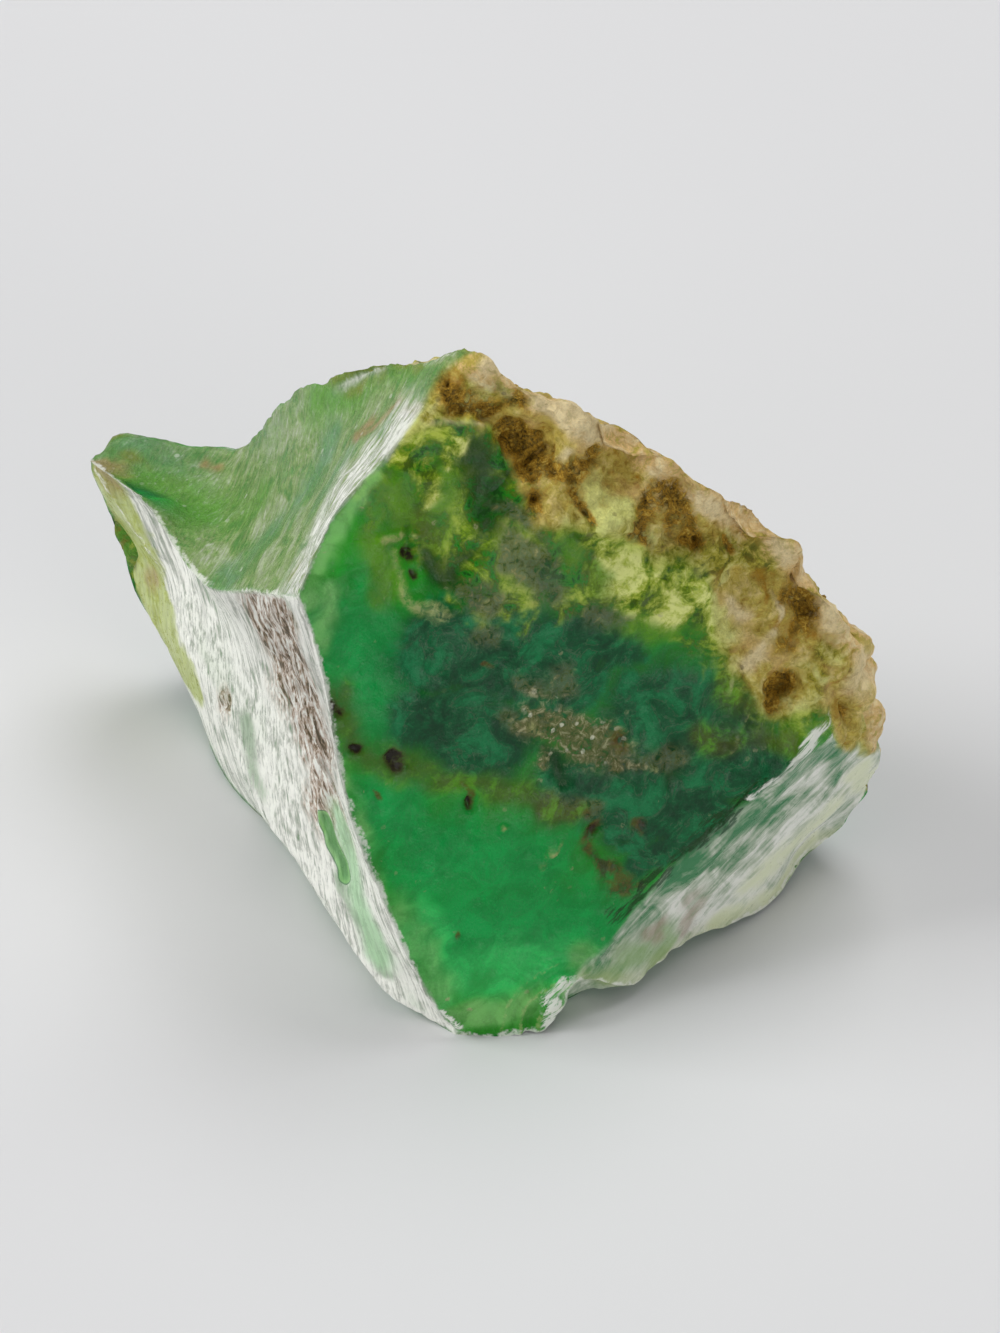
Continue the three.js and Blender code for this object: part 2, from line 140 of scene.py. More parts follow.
skin = {
    "sharpFrom": math.radians(30),  # edges that turn more than this stay crisp
    "rounds": 4,
    "edge": {  # longest distance between neighbouring points, mm
        "front": 0.235, "bevel": 0.3, "rind": 0.23, "wall": 0.26,
        "hollow": 0.33, "back": 0.44, "under": 0.9,
    },
    "soften": 3,  # rounds of smoothing after each division
    "facing": {
        "front": [(0.37, -0.88, 0.3), (0.64, -0.77, -0.07), (0.1, -0.7, 0.7)],
        "wall": [(-0.76, -0.59, -0.26), (-0.55, -0.83, 0)],
        "hollow": [(-0.72, -0.07, 0.69), (-0.1, 0.1, 1)],
        "back": [(0.3, 0.93, 0.2), (-0.4, 0.9, 0.2), (0.8, 0.6, 0), (0, 0.7, 0.7), (0, 0.9, -0.4)],
        "under": [(0, 0, -1), (-0.7, 0, -0.7), (-0.9, 0.3, -0.3)],
    },
    "crispness": 18,  # how suddenly one kind of fracture gives way to the next
    # x and z, in mm on the stone, where the rind starts
    "border": [(-8, 38.8), (-5.5, 39.2), (-3, 39.4), (-0.7, 39.2), (0, 38), (0.6, 36.6), (1.6, 34.8),
               (2.3, 33.9), (3.6, 33.4), (6, 32.9), (7.6, 32.2), (9.2, 31), (10.8, 29.8), (12.4, 29.4),
               (13.6, 28.4), (14.2, 26.4), (14.6, 24.4), (15.8, 22.4), (16.8, 20.4), (18, 18.3),
               (19.6, 17.8), (21.4, 18.2), (22.6, 17), (23.3, 14.4), (24.4, 12.2), (26.7, 10)],
    # above here the front is veined and clouded
    "cloudsFrom": [(-10, 37), (-6, 34.5), (-3, 31.5), (0, 28), (4, 28), (8, 27.5), (12, 25.5), (15, 22),
                   (18, 19), (23, 17)],
    # how green the stone turns along the rind, by x
    "verge": [(-8, 0.9), (-4, 0.8), (-1, 0.15), (3, 0.1), (5, 0.7), (13, 1), (16, 0.7), (22, 0.6),
              (27, 0.3)],
    # x and z where the bevel ends
    "brink": [(7, 2.5), (8, 3.4), (10.2, 5.2), (11.6, 7.2), (14, 9.5), (16.3, 11.3), (18.6, 13.5),
              (21, 15.4), (24, 16)],
    # x and z that the rind reaches down to on the back
    "backBorder": [(-14, 44), (-8, 36), (0, 27), (10, 19), (20, 11), (27, 4)],
}


class Skin:
    # the points, edges and directions of a mesh as arrays, in mm
    def __init__(self, bm):
        bm.verts.index_update()
        self.points = np.array([vert.co[:] for vert in bm.verts]) / mm
        self.normals = np.array([vert.normal[:] for vert in bm.verts])
        self.edges = np.array([[edge.verts[0].index, edge.verts[1].index] for edge in bm.edges])
        self.sharp = np.array([not edge.smooth for edge in bm.edges])

    def average(self, values, edges):
        # mean of the neighbours' values over the given edges, and how many neighbours there are
        count = np.zeros(len(self.points))
        total = np.zeros_like(values)
        for here, there in ((0, 1), (1, 0)):
            np.add.at(count, edges[:, here], 1)
            np.add.at(total, edges[:, here], values[edges[:, there]])
        mean = total / np.maximum(count, 1)[:, None]
        return mean, count

    def relax(self, rounds):
        sharpEdges = self.edges[self.sharp]
        for _ in range(rounds):
            mean, count = self.average(self.points, self.edges)
            ridgeMean, ridgeCount = self.average(self.points, sharpEdges)
            aim = np.where((ridgeCount == 2)[:, None], ridgeMean, mean)
            free = (ridgeCount == 0) | (ridgeCount == 2)
            bed = self.points[:, 2] < 0.005
            move = np.where(free & ~bed, 0.5, 0)[:, None]
            self.points = self.points + move * (aim - self.points)

    def spread(self, values, rounds):
        column = values if values.ndim == 2 else values[:, None]
        for _ in range(rounds):
            mean, count = self.average(column, self.edges)
            column = (column + mean) / 2
        return column if values.ndim == 2 else column[:, 0]


def aboveBackBorder(points):
    border = np.interp(points[:, 0], *zip(*skin["backBorder"]))
    return points[:, 2] - border + 3.5 * waves(points, 7, 31) + 1.6 * waves(points, 2.3)


def zoneShares(points, normals):
    scores = {}
    for name, directions in skin["facing"].items():
        best = [normals @ (np.array(way) / np.linalg.norm(way)) for way in directions]
        scores[name] = np.exp(skin["crispness"] * np.max(best, axis=0))
    total = sum(scores.values())
    shares = {name: score / total for name, score in scores.items()}
    x, z = points[:, 0], points[:, 2]
    ragged = waves(points, 2.3) * 0.8 + waves(points, 0.8, 5) * 0.45
    above = z - np.interp(x, *zip(*skin["border"]))
    below = np.interp(x, *zip(*skin["brink"])) - z
    rind = fade(above + ragged, -0.5, 0.7)
    bevel = fade(below + ragged * 0.45, -0.35, 0.35) * fade(x, 6.5, 8.5) * (1 - rind)
    backRind = fade(aboveBackBorder(points), -0.6, 0.6)
    left = {"hollow": fade(x, -1.2, -3), "wall": fade(x, 1.6, 0.2)}
    shares["front"] += sum(shares[name] * (1 - share) for name, share in left.items())
    shares.update({name: shares[name] * share for name, share in left.items()})
    shares["rind"] = shares["front"] * rind + shares["back"] * backRind
    shares["bevel"] = shares["front"] * bevel
    shares["front"] = shares["front"] * (1 - rind) * (1 - bevel)
    shares["back"] = shares["back"] * (1 - backRind)
    return shares


def writePoints(bm, points):
    for vert, place in zip(bm.verts, points * mm):
        vert.co = place
    bm.normal_update()


def divideSkin():
    bm = bmesh.new()
    bm.from_mesh(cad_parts["stone"].data)
    bmesh.ops.remove_doubles(bm, verts=bm.verts, dist=1e-7)
    for edge in bm.edges:
        edge.smooth = edge.calc_face_angle(0) < skin["sharpFrom"]
    for _ in range(skin["rounds"]):
        bm.normal_update()
        sheet = Skin(bm)
        shares = zoneShares(sheet.points, sheet.spread(sheet.normals, 2))
        longest = sum(share * skin["edge"][name] for name, share in shares.items())
        ends = sheet.points[sheet.edges]
        length = np.linalg.norm(ends[:, 0] - ends[:, 1], axis=1)
        tooLong = length > 1.35 * longest[sheet.edges].mean(axis=1)
        if not tooLong.any():
            break
        split = [edge for edge, long in zip(bm.edges, tooLong) if long]
        bmesh.ops.subdivide_edges(bm, edges=split, cuts=1)
        bmesh.ops.triangulate(bm, faces=[face for face in bm.faces if len(face.verts) > 3])
        sheet = Skin(bm)
        sheet.relax(skin["soften"])
        writePoints(bm, sheet.points)
    return bm


# The stone: places of its markings, in mm. Each is a stretch from one place to another and a radius.

marks = {
    "emerald": [
        ((-7.5, -12.6, 29.4), (-6.4, -13.8, 24.4), 3.0), ((-4.6, -15.2, 17.4), (-2, -15.6, 13), 2.6),
        ((-1, -15.6, 13.6), (4.4, -14, 11.4), 3.4), ((0.6, -16.2, 8.6), (8.6, -13.8, 6.4), 4.0),
    ],
    "deep": [
        ((-1.8, -10.6, 26.6), (5.6, -9, 24.6), 3.2), ((11.6, -7.8, 20.4), (16, -6.6, 16.4), 3.2),
        ((-2.8, -12.6, 22.8), (2, -12, 20.4), 2.2), ((9.6, -10.2, 15.4), (14.5, -8.8, 12.4), 2.8),
        ((6.2, -11.4, 16.8), (9, -10.6, 15.4), 2.0), ((15, -7.4, 15), (19.4, -6, 14.4), 1.8),
        ((5.2, -8.2, 27), (8.6, -7.5, 25), 1.7), ((11.4, -11, 10.2), (13.6, -9.6, 10.6), 1.2),
    ],
    "shade": [
        ((-1.1, -4.4, 38), (-0.2, -6.4, 33.9), 1.1), ((0.3, -4.9, 35.6), (0.6, -5.6, 34.4), 1.1),
        ((-3.4, -8.4, 32.4), (-2.2, -8.8, 31), 0.8), ((-1.5, -8.1, 32.2), (-1.6, -8.9, 30.8), 0.7),
        ((5.4, -9.2, 22.9), (4.6, -9.4, 23.3), 0.4), ((0.9, -4.2, 36.4), (1.6, -5.2, 35), 0.5),
        ((12, -8.2, 17.4), (13, -8.2, 15.6), 0.8), ((4.6, -10.8, 19), (6, -10.8, 17.2), 0.7),
    ],
    "grassy": [
        ((-6.3, -6.8, 37), (-5.3, -7.6, 35), 1.5), ((-6.8, -9.2, 33.6), (-6, -10, 31.4), 1.1),
        ((4.6, -5.6, 32.3), (5, -5.9, 31.2), 0.9), ((21.6, -4.5, 17.6), (20.6, -5.1, 17.1), 0.9),
        ((9, -6.5, 26.4), (14, -5.2, 25), 1.0), ((-3, -5.4, 37.6), (-3.6, -7.4, 34.6), 1.1),
    ],
    "yellow": [
        ((-5.8, -5.4, 38.4), (-5.1, -5.7, 37.8), 0.6), ((-4.1, -5.9, 36.9), (-3.9, -6.4, 35.9), 0.6),
        ((-2.2, -4.3, 38.5), (-2.9, -4.8, 37.6), 0.6), ((6.2, -3.5, 34.6), (7.2, -4.2, 33.4), 1.3),
        ((5.8, -5.3, 32.2), (6, -5.2, 31.6), 0.6), ((8.9, -5.4, 29.2), (13.3, -4.3, 27.7), 1.4),
        ((9.5, -5.8, 27.6), (12.2, -5, 26.8), 1.0), ((13.2, -4, 28.5), (13.5, -4, 27.3), 0.9),
        ((14, -4.6, 25.8), (15.2, -4.2, 24.8), 1.1), ((7.4, -5.2, 30.9), (9.2, -5, 30.4), 0.9),
    ],
    "olive": [
        ((-8.4, -14, 25.8), (-7.4, -14.8, 22.6), 1.0), ((-6.8, -14.9, 21.6), (-3.2, -14, 19.6), 0.9),
        ((-3, -14, 19.4), (3.4, -12.6, 16.7), 1.0), ((3.4, -12.6, 16.4), (6.6, -11.8, 14.6), 0.8),
        ((14.7, -6.8, 17.8), (20.2, -5.4, 16.7), 1.0), ((6.9, -5.8, 30.4), (8.4, -6.2, 28.4), 1.1),
        ((-4.4, -7, 35.2), (-3.6, -7.6, 33.6), 0.8), ((15.4, -5.4, 21), (17.2, -5, 19), 0.9),
    ],
    "murk": [
        ((1, -7, 32.2), (3.2, -6.7, 31), 1.0), ((2.4, -7.4, 30.8), (3.8, -7.3, 29.4), 1.0),
        ((-0.8, -8.9, 30.2), (0.5, -8.8, 29.2), 0.9), ((-0.6, -9.6, 27.8), (0.8, -9.1, 27.2), 0.6),
        ((3, -9.8, 24.2), (6, -9, 23.4), 0.7), ((6.8, -7.4, 27.8), (8.8, -7, 26.6), 0.8),
        ((9.6, -9.6, 17.4), (13, -8.4, 17), 0.9), ((0.8, -5.4, 34.2), (2.4, -5.8, 33), 0.6),
        ((5, -11.4, 15.6), (7.8, -11.2, 14.2), 0.8), ((1.8, -11.4, 21.8), (3.6, -10.8, 20.6), 0.6),
    ],
    "lit": [  # where light comes through the thin foot
        ((-3, -16.6, 8.4), (-0.4, -17.2, 3.4), 1.3), ((0.4, -16.8, 5), (7, -15.4, 4.4), 2.0),
        ((-2.4, -16, 10.6), (-0.6, -16.4, 7.6), 1.0),
    ],
    # painted glow along the thin left edge and the foot, where light comes through
    "pale": [
        ((-10.9, -12.3, 31.6), (-9.7, -9.6, 34.6), 0.8), ((-9.7, -9.6, 34.6), (-6.6, -5.4, 39), 0.8),
        ((-9.8, -11.6, 32), (-9.9, -12.8, 28.8), 0.7), ((-8.3, -14.9, 20.6), (-5, -16.3, 11), 0.8),
        ((-4, -16.4, 9.8), (-1, -17.1, 4), 1.5), ((0.5, -17.6, 1.8), (5.6, -16.8, 2.2), 1.0),
        ((6.4, -16.2, 3), (9.4, -14.4, 3), 0.7), ((8.8, -13.6, 4.2), (11.4, -12.4, 3.6), 1.1),
    ],
    "grain": [
        ((4.2, -10.2, 21.2), (7.8, -9.3, 18.9), 1.25), ((7.6, -9.6, 18.3), (9, -9, 18.3), 0.9),
        ((3.7, -9.7, 23.6), (5, -9.4, 23), 0.5), ((2.3, -11.1, 21.4), (3.6, -10.7, 21.3), 0.4),
        ((4.3, -11.4, 17.9), (4.7, -10.9, 18.8), 0.4), ((8.8, -9.6, 17.2), (10.4, -9.2, 16.7), 0.4),
    ],
    "rust": [
        ((8.7, -11.2, 13.2), (8.2, -11.8, 12.2), 0.6), ((7.3, -11.6, 14.1), (7.5, -11.5, 13.9), 0.35),
        ((10.8, -10.4, 12.9), (10.9, -10.4, 12.6), 0.35), ((9.2, -12, 10.6), (10.3, -12, 8.9), 0.8),
        ((11.6, -11.5, 8.4), (11.9, -11.4, 8), 0.4), ((9.1, -8.9, 18.7), (9.5, -8.9, 18), 0.5),
        ((-0.3, -13.4, 17.8), (0.1, -13.8, 16.2), 0.26), ((-5.3, -15.2, 18.4), (-5.2, -15.3, 18), 0.22),
        ((0.6, -16.5, 8.2), (0.6, -16.5, 8), 0.2), ((0.5, -10.2, 25.7), (0.9, -10.1, 25.4), 0.24),
        ((8.4, -12, 11.4), (8.8, -12, 10.6), 0.5),
    ],
    "dark": [
        ((-4.6, -14, 20.6), (-4, -14.2, 20.1), 0.5), ((-7.3, -14.9, 21.9), (-6.9, -14.9, 21.8), 0.32),
        ((-8.6, -14.4, 24.6), (-8.2, -14.4, 24.1), 0.36), ((8.8, -11.3, 13.3), (8.5, -11.5, 13), 0.24),
        ((0.1, -13.8, 16.3), (0, -13.7, 16.6), 0.18), ((-5, -8.7, 33), (-4.7, -8.8, 32.6), 0.3),
        ((-4.5, -9.2, 31.8), (-4.4, -9.3, 31.5), 0.2),
    ],
    "cream": [
        ((-5.6, -8.8, 33), (-5.2, -9.5, 31.6), 0.32), ((-5.2, -9.5, 31.6), (-4.6, -10, 30.5), 0.36),
        ((-4.6, -10, 30.5), (-3.7, -10.3, 29.5), 0.42), ((-3.7, -10.3, 29.5), (-2.8, -10.2, 29.1), 0.4),
        ((-2.8, -10.2, 29.1), (-2, -9.9, 29.4), 0.3),
        ((-6.4, -8.8, 33.6), (-5.5, -8, 33.8), 0.3), ((-5.5, -8, 33.8), (-4, -8, 33.5), 0.24),
        ((17.1, -4, 22), (15.6, -5.4, 20.7), 0.18), ((18.7, -3.5, 22.3), (17.7, -4.6, 19.3), 0.2),
        ((17.2, -5.4, 18.4), (16.6, -6.3, 16.8), 0.15), ((16.9, -2.6, 25.2), (16.5, -3.2, 24.1), 0.22),
        ((11, -9, 16.5), (11.4, -8.9, 16.4), 0.26), ((5.8, -12.8, 12.9), (5.6, -13, 12.3), 0.24),
        ((5.3, -13.3, 11.9), (5.2, -13.3, 11.7), 0.16), ((2.6, -13.5, 14.8), (2.5, -13.5, 14.4), 0.14),
        ((3.7, -10.6, 21), (4, -10.5, 20.5), 0.3), ((-1.4, -9.3, 28.8), (0.2, -8.7, 29.6), 0.22),
    ],
    "silver": [  # white fibres where the front breaks off to the right, partly painted highlights there; the last four are painted highlights on the lips of the foot
        ((22.9, -3.1, 18), (21.6, -5, 16.2), 0.5), ((21.6, -5, 16.2), (20.4, -6.1, 14.6), 0.65),
        ((20.4, -6.1, 14.6), (18.2, -7, 13), 0.4), ((24.6, -1.7, 17.4), (24.2, -1.9, 13.6), 0.55),
        ((24.2, -1.9, 13.4), (23, -2.2, 10.7), 0.7), ((22.6, -3.6, 15.6), (21, -4.8, 12.6), 0.4),
        ((6.7, -16.5, 0.7), (6.5, -16.1, 2.6), 0.5), ((6.5, -16.1, 2.6), (7.3, -15.4, 3.5), 0.42),
        ((7.3, -15.4, 3.5), (10, -14, 3), 0.3), ((0.9, -17.9, 0.8), (-0.4, -18.1, 2.4), 0.26),
    ],
    "scales": [  # small dark steps along the same edge
        ((12.5, -11, 8.3), (14.5, -9.3, 10.1), 0.5), ((14.5, -9.3, 10.1), (16.2, -8, 11.7), 0.5),
        ((16.2, -8, 11.7), (18.3, -6.9, 13.4), 0.5), ((10.4, -12.5, 7), (12.5, -11, 8.3), 0.7),
    ],
    "pit": [
        ((0.3, -2.9, 37.9), (1.3, -2.8, 36.9), 0.8), ((1.3, -3, 36.8), (2.4, -3.6, 36), 0.9),
        ((3.1, -3.1, 37.1), (3.9, -4, 36), 0.45), ((2.9, -5, 34.9), (2.2, -5.5, 34.1), 0.6),
        ((5.7, -2.7, 36.7), (4.8, -3.6, 36), 0.85), ((5.1, -4.2, 35), (6, -4.7, 33.4), 0.34),
        ((9.6, -3.4, 34.4), (9.5, -3.9, 31.8), 0.7), ((10.7, -2.8, 34.4), (11.8, -2.5, 32), 0.85),
        ((11.8, -2.6, 31.6), (12.7, -2.8, 30.4), 0.6), ((-3.5, -2.7, 40.8), (-0.8, -2.5, 39.9), 0.75),
        ((19.1, -1.7, 25.6), (20.3, -1.5, 23.8), 0.9), ((20, -2, 23.6), (19.7, -2.8, 22.6), 0.7),
        ((19.2, -3.7, 19.7), (18.9, -4.3, 18.8), 0.75), ((0.6, -2.2, 40.4), (1.4, -2, 39.6), 0.5),
        ((23.2, -3.1, 17.3), (24.6, -1, 14.6), 0.4), ((14.9, -2.2, 30), (15.4, -2.2, 29.6), 0.4),
    ],
    "rimCream": [
        ((24.3, -0.8, 19.8), (24, -1, 18.6), 1.4), ((18.8, -1.2, 28.6), (18.2, -1, 29.2), 0.9),
        ((2.6, -1.9, 40.3), (6, -2, 38.6), 1.0), ((4.5, -2.8, 37.6), (4.4, -3, 36.8), 0.5),
        ((17.2, -3.9, 22.3), (18.4, -3.3, 23), 0.9), ((12.6, -1.6, 34), (15, -1.4, 31.6), 0.9),
        ((15.6, -3, 25.8), (15.8, -3.1, 25), 0.7), ((18.3, -1.8, 26.4), (18.5, -2.8, 23.6), 0.35),
        ((21.4, -1.6, 25), (22.6, -1.4, 23), 0.8), ((25.2, -0.6, 16.8), (25.3, -0.6, 16), 0.6),
        ((-5.5, -4.4, 39.4), (-0.7, -3, 39.4), 0.4), ((1.6, -1.4, 41.2), (-1, -1, 42.2), 0.8),
    ],
    "moss": [
        ((-1.6, -1.8, 41.5), (-0.6, -2.1, 40.6), 1.0), ((15.2, -2.2, 29.6), (17.6, -1.6, 28.6), 1.2),
        ((21.2, -3.3, 20.7), (21.4, -3.2, 19.6), 1.0), ((26, 0.6, 12), (25.4, -0.2, 14), 1.0),
        ((22, -2.4, 22.2), (22.8, -2, 21.4), 0.8), ((13.6, -3, 29.6), (14.8, -2.8, 28.4), 1.0),
        ((8, -3.6, 33.2), (8.6, -4.2, 31), 0.8), ((-5.2, -3.8, 40), (-4.4, -4.2, 39.3), 0.8),
        ((2, -3.7, 36), (2.4, -4.2, 35.4), 0.4),
    ],
    "bruise": [  # pink and brown among the wall's fibres
        ((-14.4, -6.2, 27.6), (-12.6, -7.8, 20), 2.9), ((-12, -9.6, 28), (-9.8, -12.2, 18), 2.0),
        ((-11.4, -9.4, 19), (-8.4, -12.6, 12.4), 2.0), ((-16.6, 0.6, 9.9), (-16, 1.2, 8.6), 0.9),
    ],
    "wallGreen": [
        ((-12, -10.4, 30.6), (-11.6, -10.9, 28.6), 0.9), ((-14.4, -3.2, 10.4), (-13.4, -4.6, 8), 1.2),
        ((-7.6, -12.9, 8.4), (-4, -15.6, 3.4), 0.7), ((-10.5, -11, 20), (-9.6, -12.2, 16), 0.35),
    ],
    "lens": [((-8.9, -11.8, 12), (-7.5, -13.2, 8.9), 0.66)],
    "inner": [((-8.3, -13, 13.4), (-4.6, -15.7, 4.4), 1.0)],
    "teal": [  # darker, bluer stretches of the hollow
        ((-25.1, 13.2, 18.6), (-20, 12.4, 20.4), 1.8), ((-14.4, -1, 26), (-16.6, -1.2, 22.4), 1.8),
        ((-9, -2.6, 34.2), (-10.6, -4.4, 31.4), 1.2), ((-10.4, 2, 32), (-12.6, -1, 28.6), 1.4),
    ],
    "meadow": [  # its bright yellow-green stretches
        ((-23.4, 9.6, 19.4), (-18.8, 7, 21.4), 2.6), ((-11.6, 5.6, 32.5), (-8.8, 3.6, 36.4), 2.0),
        ((-7.6, 2.4, 38.6), (-5.4, -0.4, 41), 1.4), ((-17.6, 4.6, 22.6), (-15.6, 4.8, 25), 1.6),
        ((9.8, -13.9, 2.8), (13.8, -10.7, 2.8), 1.3),
    ],
    "hay": [  # its dry yellow-brown edge
        ((-11, 6.4, 33), (-8, 2.6, 38), 0.9), ((-7.2, 1.8, 39.6), (-5.6, -0.2, 41.4), 0.9),
        ((-12, -9.6, 30.8), (-10.4, -9.2, 32), 0.8), ((-24.8, 12.4, 19.2), (-22, 12, 19.8), 0.5),
    ],
    "blush": [
        ((-19.2, 12.2, 19.7), (-18.4, 11.2, 20.2), 0.6), ((-8.9, -1, 34.9), (-6.4, -1.6, 38.3), 0.7),
        ((-25.7, 10.9, 19.4), (-25, 11.2, 18.2), 1.2), ((-22.3, 11, 10.6), (-22.2, 10.6, 8.8), 0.8),
        ((15.4, -8.9, 4.4), (15.1, -9.2, 2.4), 0.9), ((12.4, -11.5, 4.6), (13.4, -10.7, 4.2), 0.6),
        ((-6.6, -3, 39.4), (-5.8, -3.6, 40), 0.6),
    ],
    "sunny": [  # pale yellow-green of the bevel's lower end, partly painted light that lifts the shade of its dent
        ((17, -7.6, 1.4), (24, -0.4, 2.2), 0.9),
        ((19.3, -5.2, 4), (24.4, -0.6, 6.4), 1.2), ((25, 0.4, 9), (26.4, 2.4, 6), 1.2),
    ],
    "grey": [  # its clear grey-green middle
        ((14.6, -9.7, 8.6), (17.4, -7.3, 7.6), 1.1), ((18, -6.8, 10.6), (21.4, -3.8, 9.8), 1.1),
        ((22.6, -2.8, 13.6), (24, -1.4, 10.4), 1.2),
        ((22.4, -3, 15.6), (23.6, -2, 12.4), 1.1),
    ],
}
steadyMarks = ("lens", "inner", "silver", "dark")  # their outlines wander less


def wander(points):
    # the points moved about a little, so that what is measured from them gets a natural outline
    soft = np.stack([waves(points, 2.6, shift) for shift in (17, 29, 43)], axis=1)
    fine = np.stack([waves(points, 0.9, shift) for shift in (53, 61, 71)], axis=1)
    return points + 0.9 * soft + 0.3 * fine


def markStrength(points, stretches):
    strongest = np.zeros(len(points))
    for start, end, radius in stretches:
        start, end = np.array(start, float), np.array(end, float)
        span = end - start
        share = np.clip((points - start) @ span / max(span @ span, 1e-9), 0, 1)
        away = np.linalg.norm(points - start - np.outer(share, span), axis=1) / radius
        strongest = np.maximum(strongest, np.exp(-0.7 * away ** 2))
    return strongest


# The stone: relief, each height in mm

relief = {
    "swell": 0.16,       # soft waves of the broad front
    "toeRings": ((7, -16, 0.6), 5.5, 1.3, 0.14),  # rings in its foot: middle, reach, spacing, height
    "dimple": 0.1,       # its small hollows
    "crumble": 0.34,     # grains that stand out of it
    "scale": 0.3,        # small steps along its right edge
    "fibre": 0.24,       # furrows between the fibres of the wall
    "splinter": 0.34,    # its longer steps
    "tear": 0.6,         # deeper tears where it is bruised
    "striation": 0.14,   # fine ripples of the hollow
    "ripple": 0.16,      # streaks of the bevel
    "knob": 1.1,         # lumps of the rind
    "nodule": 0.5,
    "gravel": 0.26,
    "rot": 0.95,         # how deep the rind's pits have rotted
    "hackle": 0.55,      # broken surface of the back
    "struckAt": (-17, 14, 33),
    "ledgeEvery": 4.5,
    "chipping": 0.2,     # wear along the crisp ridges
    "margin": 0.02,      # the least that stays free inside the solid's box
    "underside": 0.2,
    "lensDip": 0.25,
    "yellowLumps": 0.22,
    # marks of the front that stand out or lie in
    "standsOut": {"cream": 0.34, "silver": 0.3, "dark": -0.45, "rust": -0.2, "shade": -0.35},
    # patches in the rind of the back: size, shift and where they begin
    "behind": {"pit": (2.8, 21, 0.22), "moss": (3.6, 23, 0.16), "rimCream": (2.4, 25, 0.2)},
    "lumps": [           # the rind's own larger lumps and dents: place, radius and height
        ((-2.2, -2, 41.6), 1.8, 0.4), ((6.7, -3.8, 34.1), 1.5, 0.6), ((15.7, -3, 25.5), 1.1, 0.4),
        ((17.4, -3.9, 22.2), 1.1, 0.4), ((18.6, -3.2, 23), 0.8, 0.3), ((18.7, -1.2, 28.6), 1.2, 0.45),
        ((24.2, -0.8, 19.4), 1.6, 0.5), ((21.3, -3.3, 20.2), 1.1, 0.35), ((4.5, -2.4, 38), 1.3, 0.4),
        ((13.4, -4, 27.8), 0.9, 0.35), ((10.5, -4.9, 28.6), 1.1, 0.35), ((9.7, -5.7, 27.6), 0.7, 0.25),
        ((25, -0.4, 16.6), 0.9, 0.35), ((12.1, -5, 27), 0.7, 0.2), ((-4, -6, 36.6), 0.7, 0.2),
        ((-4.4, -2.6, 40.8), 1.0, 0.3), ((13.4, -1.6, 33.4), 1.2, 0.3), ((8.9, -4.2, 32.6), 0.8, 0.3),
        ((7.4, -1.5, 38.3), 1.3, -1.2), ((1, -1, 41.3), 1.0, -0.4), ((-4.6, -3.2, 40.2), 1.0, -0.35),
        ((16.4, -1, 31.7), 2.3, -1.0), ((20.6, -0.7, 27), 1.8, -1.1), ((9.4, -1.7, 37.1), 1.0, -0.4),
        ((23.4, -0.8, 1.6), 2.4, -1.1),
        ((7.2, -16, 2.2), 0.9, 0.5), ((8.6, -14.6, 1.4), 1.1, -0.7),
        ((-24.6, 13.6, 10), 3.0, -0.6), ((-24, 14.4, 19), 2.0, 0.5),
    ],
}


def frontRelief(points, found):
    heights = relief["swell"] * (waves(points, 3.2) + 0.4 * waves(points, 1.0, 2))
    heights -= relief["dimple"] * fade(cells(points, 1.3)[0], 0.42, 0.1)
    heights += relief["toeRings"][3] * found["rings"]
    grains = cells(points, 0.62)[0]
    heights += relief["crumble"] * (found["grain"] + 0.5 * found["murk"]) * (0.55 - grains)
    heights += relief["yellowLumps"] * found["yellow"] * (0.6 - cells(points, 1.1, 6)[0])
    heights += 0.5 * relief["knob"] * found["verge"] * (0.3 - cells(points, 1.6, 8)[0])
    steps = drawnOut(points, runs["bevel"], 2.5)
    heights -= relief["scale"] * found["scales"] * fade(cells(steps, 0.55, 3)[0], 0.5, 0.15)
    return heights + sum(rise * found[name] for name, rise in relief["standsOut"].items())


def wallRelief(points, found):
    fibres = drawnOut(points, runs["wall"], 9)
    furrow = np.abs(waves(fibres, 0.55)) + 0.6 * np.abs(waves(fibres, 0.3, 4))
    steps = waves(drawnOut(points, runs["wall"], 5), 1.4, 7)
    coarse = np.abs(waves(drawnOut(points, runs["wall"], 4), 0.8, 5))
    calm = 1 - 0.85 * np.maximum(found["lens"], 0.8 * found["inner"])
    torn = 0.4 + 0.6 * found["bruise"]
    heights = calm * torn * (relief["fibre"] * (furrow - 0.5) + relief["splinter"] * steps)
    heights += calm * found["bruise"] * relief["tear"] * (coarse * 2 - 0.6)
    return heights - relief["lensDip"] * found["lens"]


def hollowRelief(points, nearArris):
    streaks = drawnOut(points, runs["hollow"], 8)
    tow = drawnOut(points, runs["bundle"], 8)
    heights = relief["striation"] * (waves(streaks, 0.6) + 0.7 * np.abs(waves(streaks, 1.3, 5))
                                     + waves(points, 2.2, 6))
    return heights + relief["fibre"] * nearArris * (0.5 - np.abs(waves(tow, 0.6, 3)) * 2)


def bevelRelief(points):
    streaks = drawnOut(points, runs["bevel"], 7)
    return relief["ripple"] * (0.7 * waves(streaks, 0.7) + 1.3 * waves(streaks, 1.8, 4)
                               - 0.7 * np.abs(waves(streaks, 0.4, 8)))


def rindRelief(points, found):
    big = cells(points, 2.5, 4)[0]
    small = cells(points, 1.0, 2)[0]
    smooth = 1 - 0.75 * np.maximum(found["rimCream"], 0.8 * found["nearRim"])
    heights = relief["knob"] * (0.15 - big * big) + relief["nodule"] * (0.45 - small * small) * smooth
    heights += relief["gravel"] * rough(points, 0.45, 3) * smooth
    crumbs = 0.6 + 1.1 * rough(points, 0.5, 4) - 0.5 * (0.4 - cells(points, 0.45, 9)[0])
    return heights - relief["rot"] * found["pit"] * crumbs


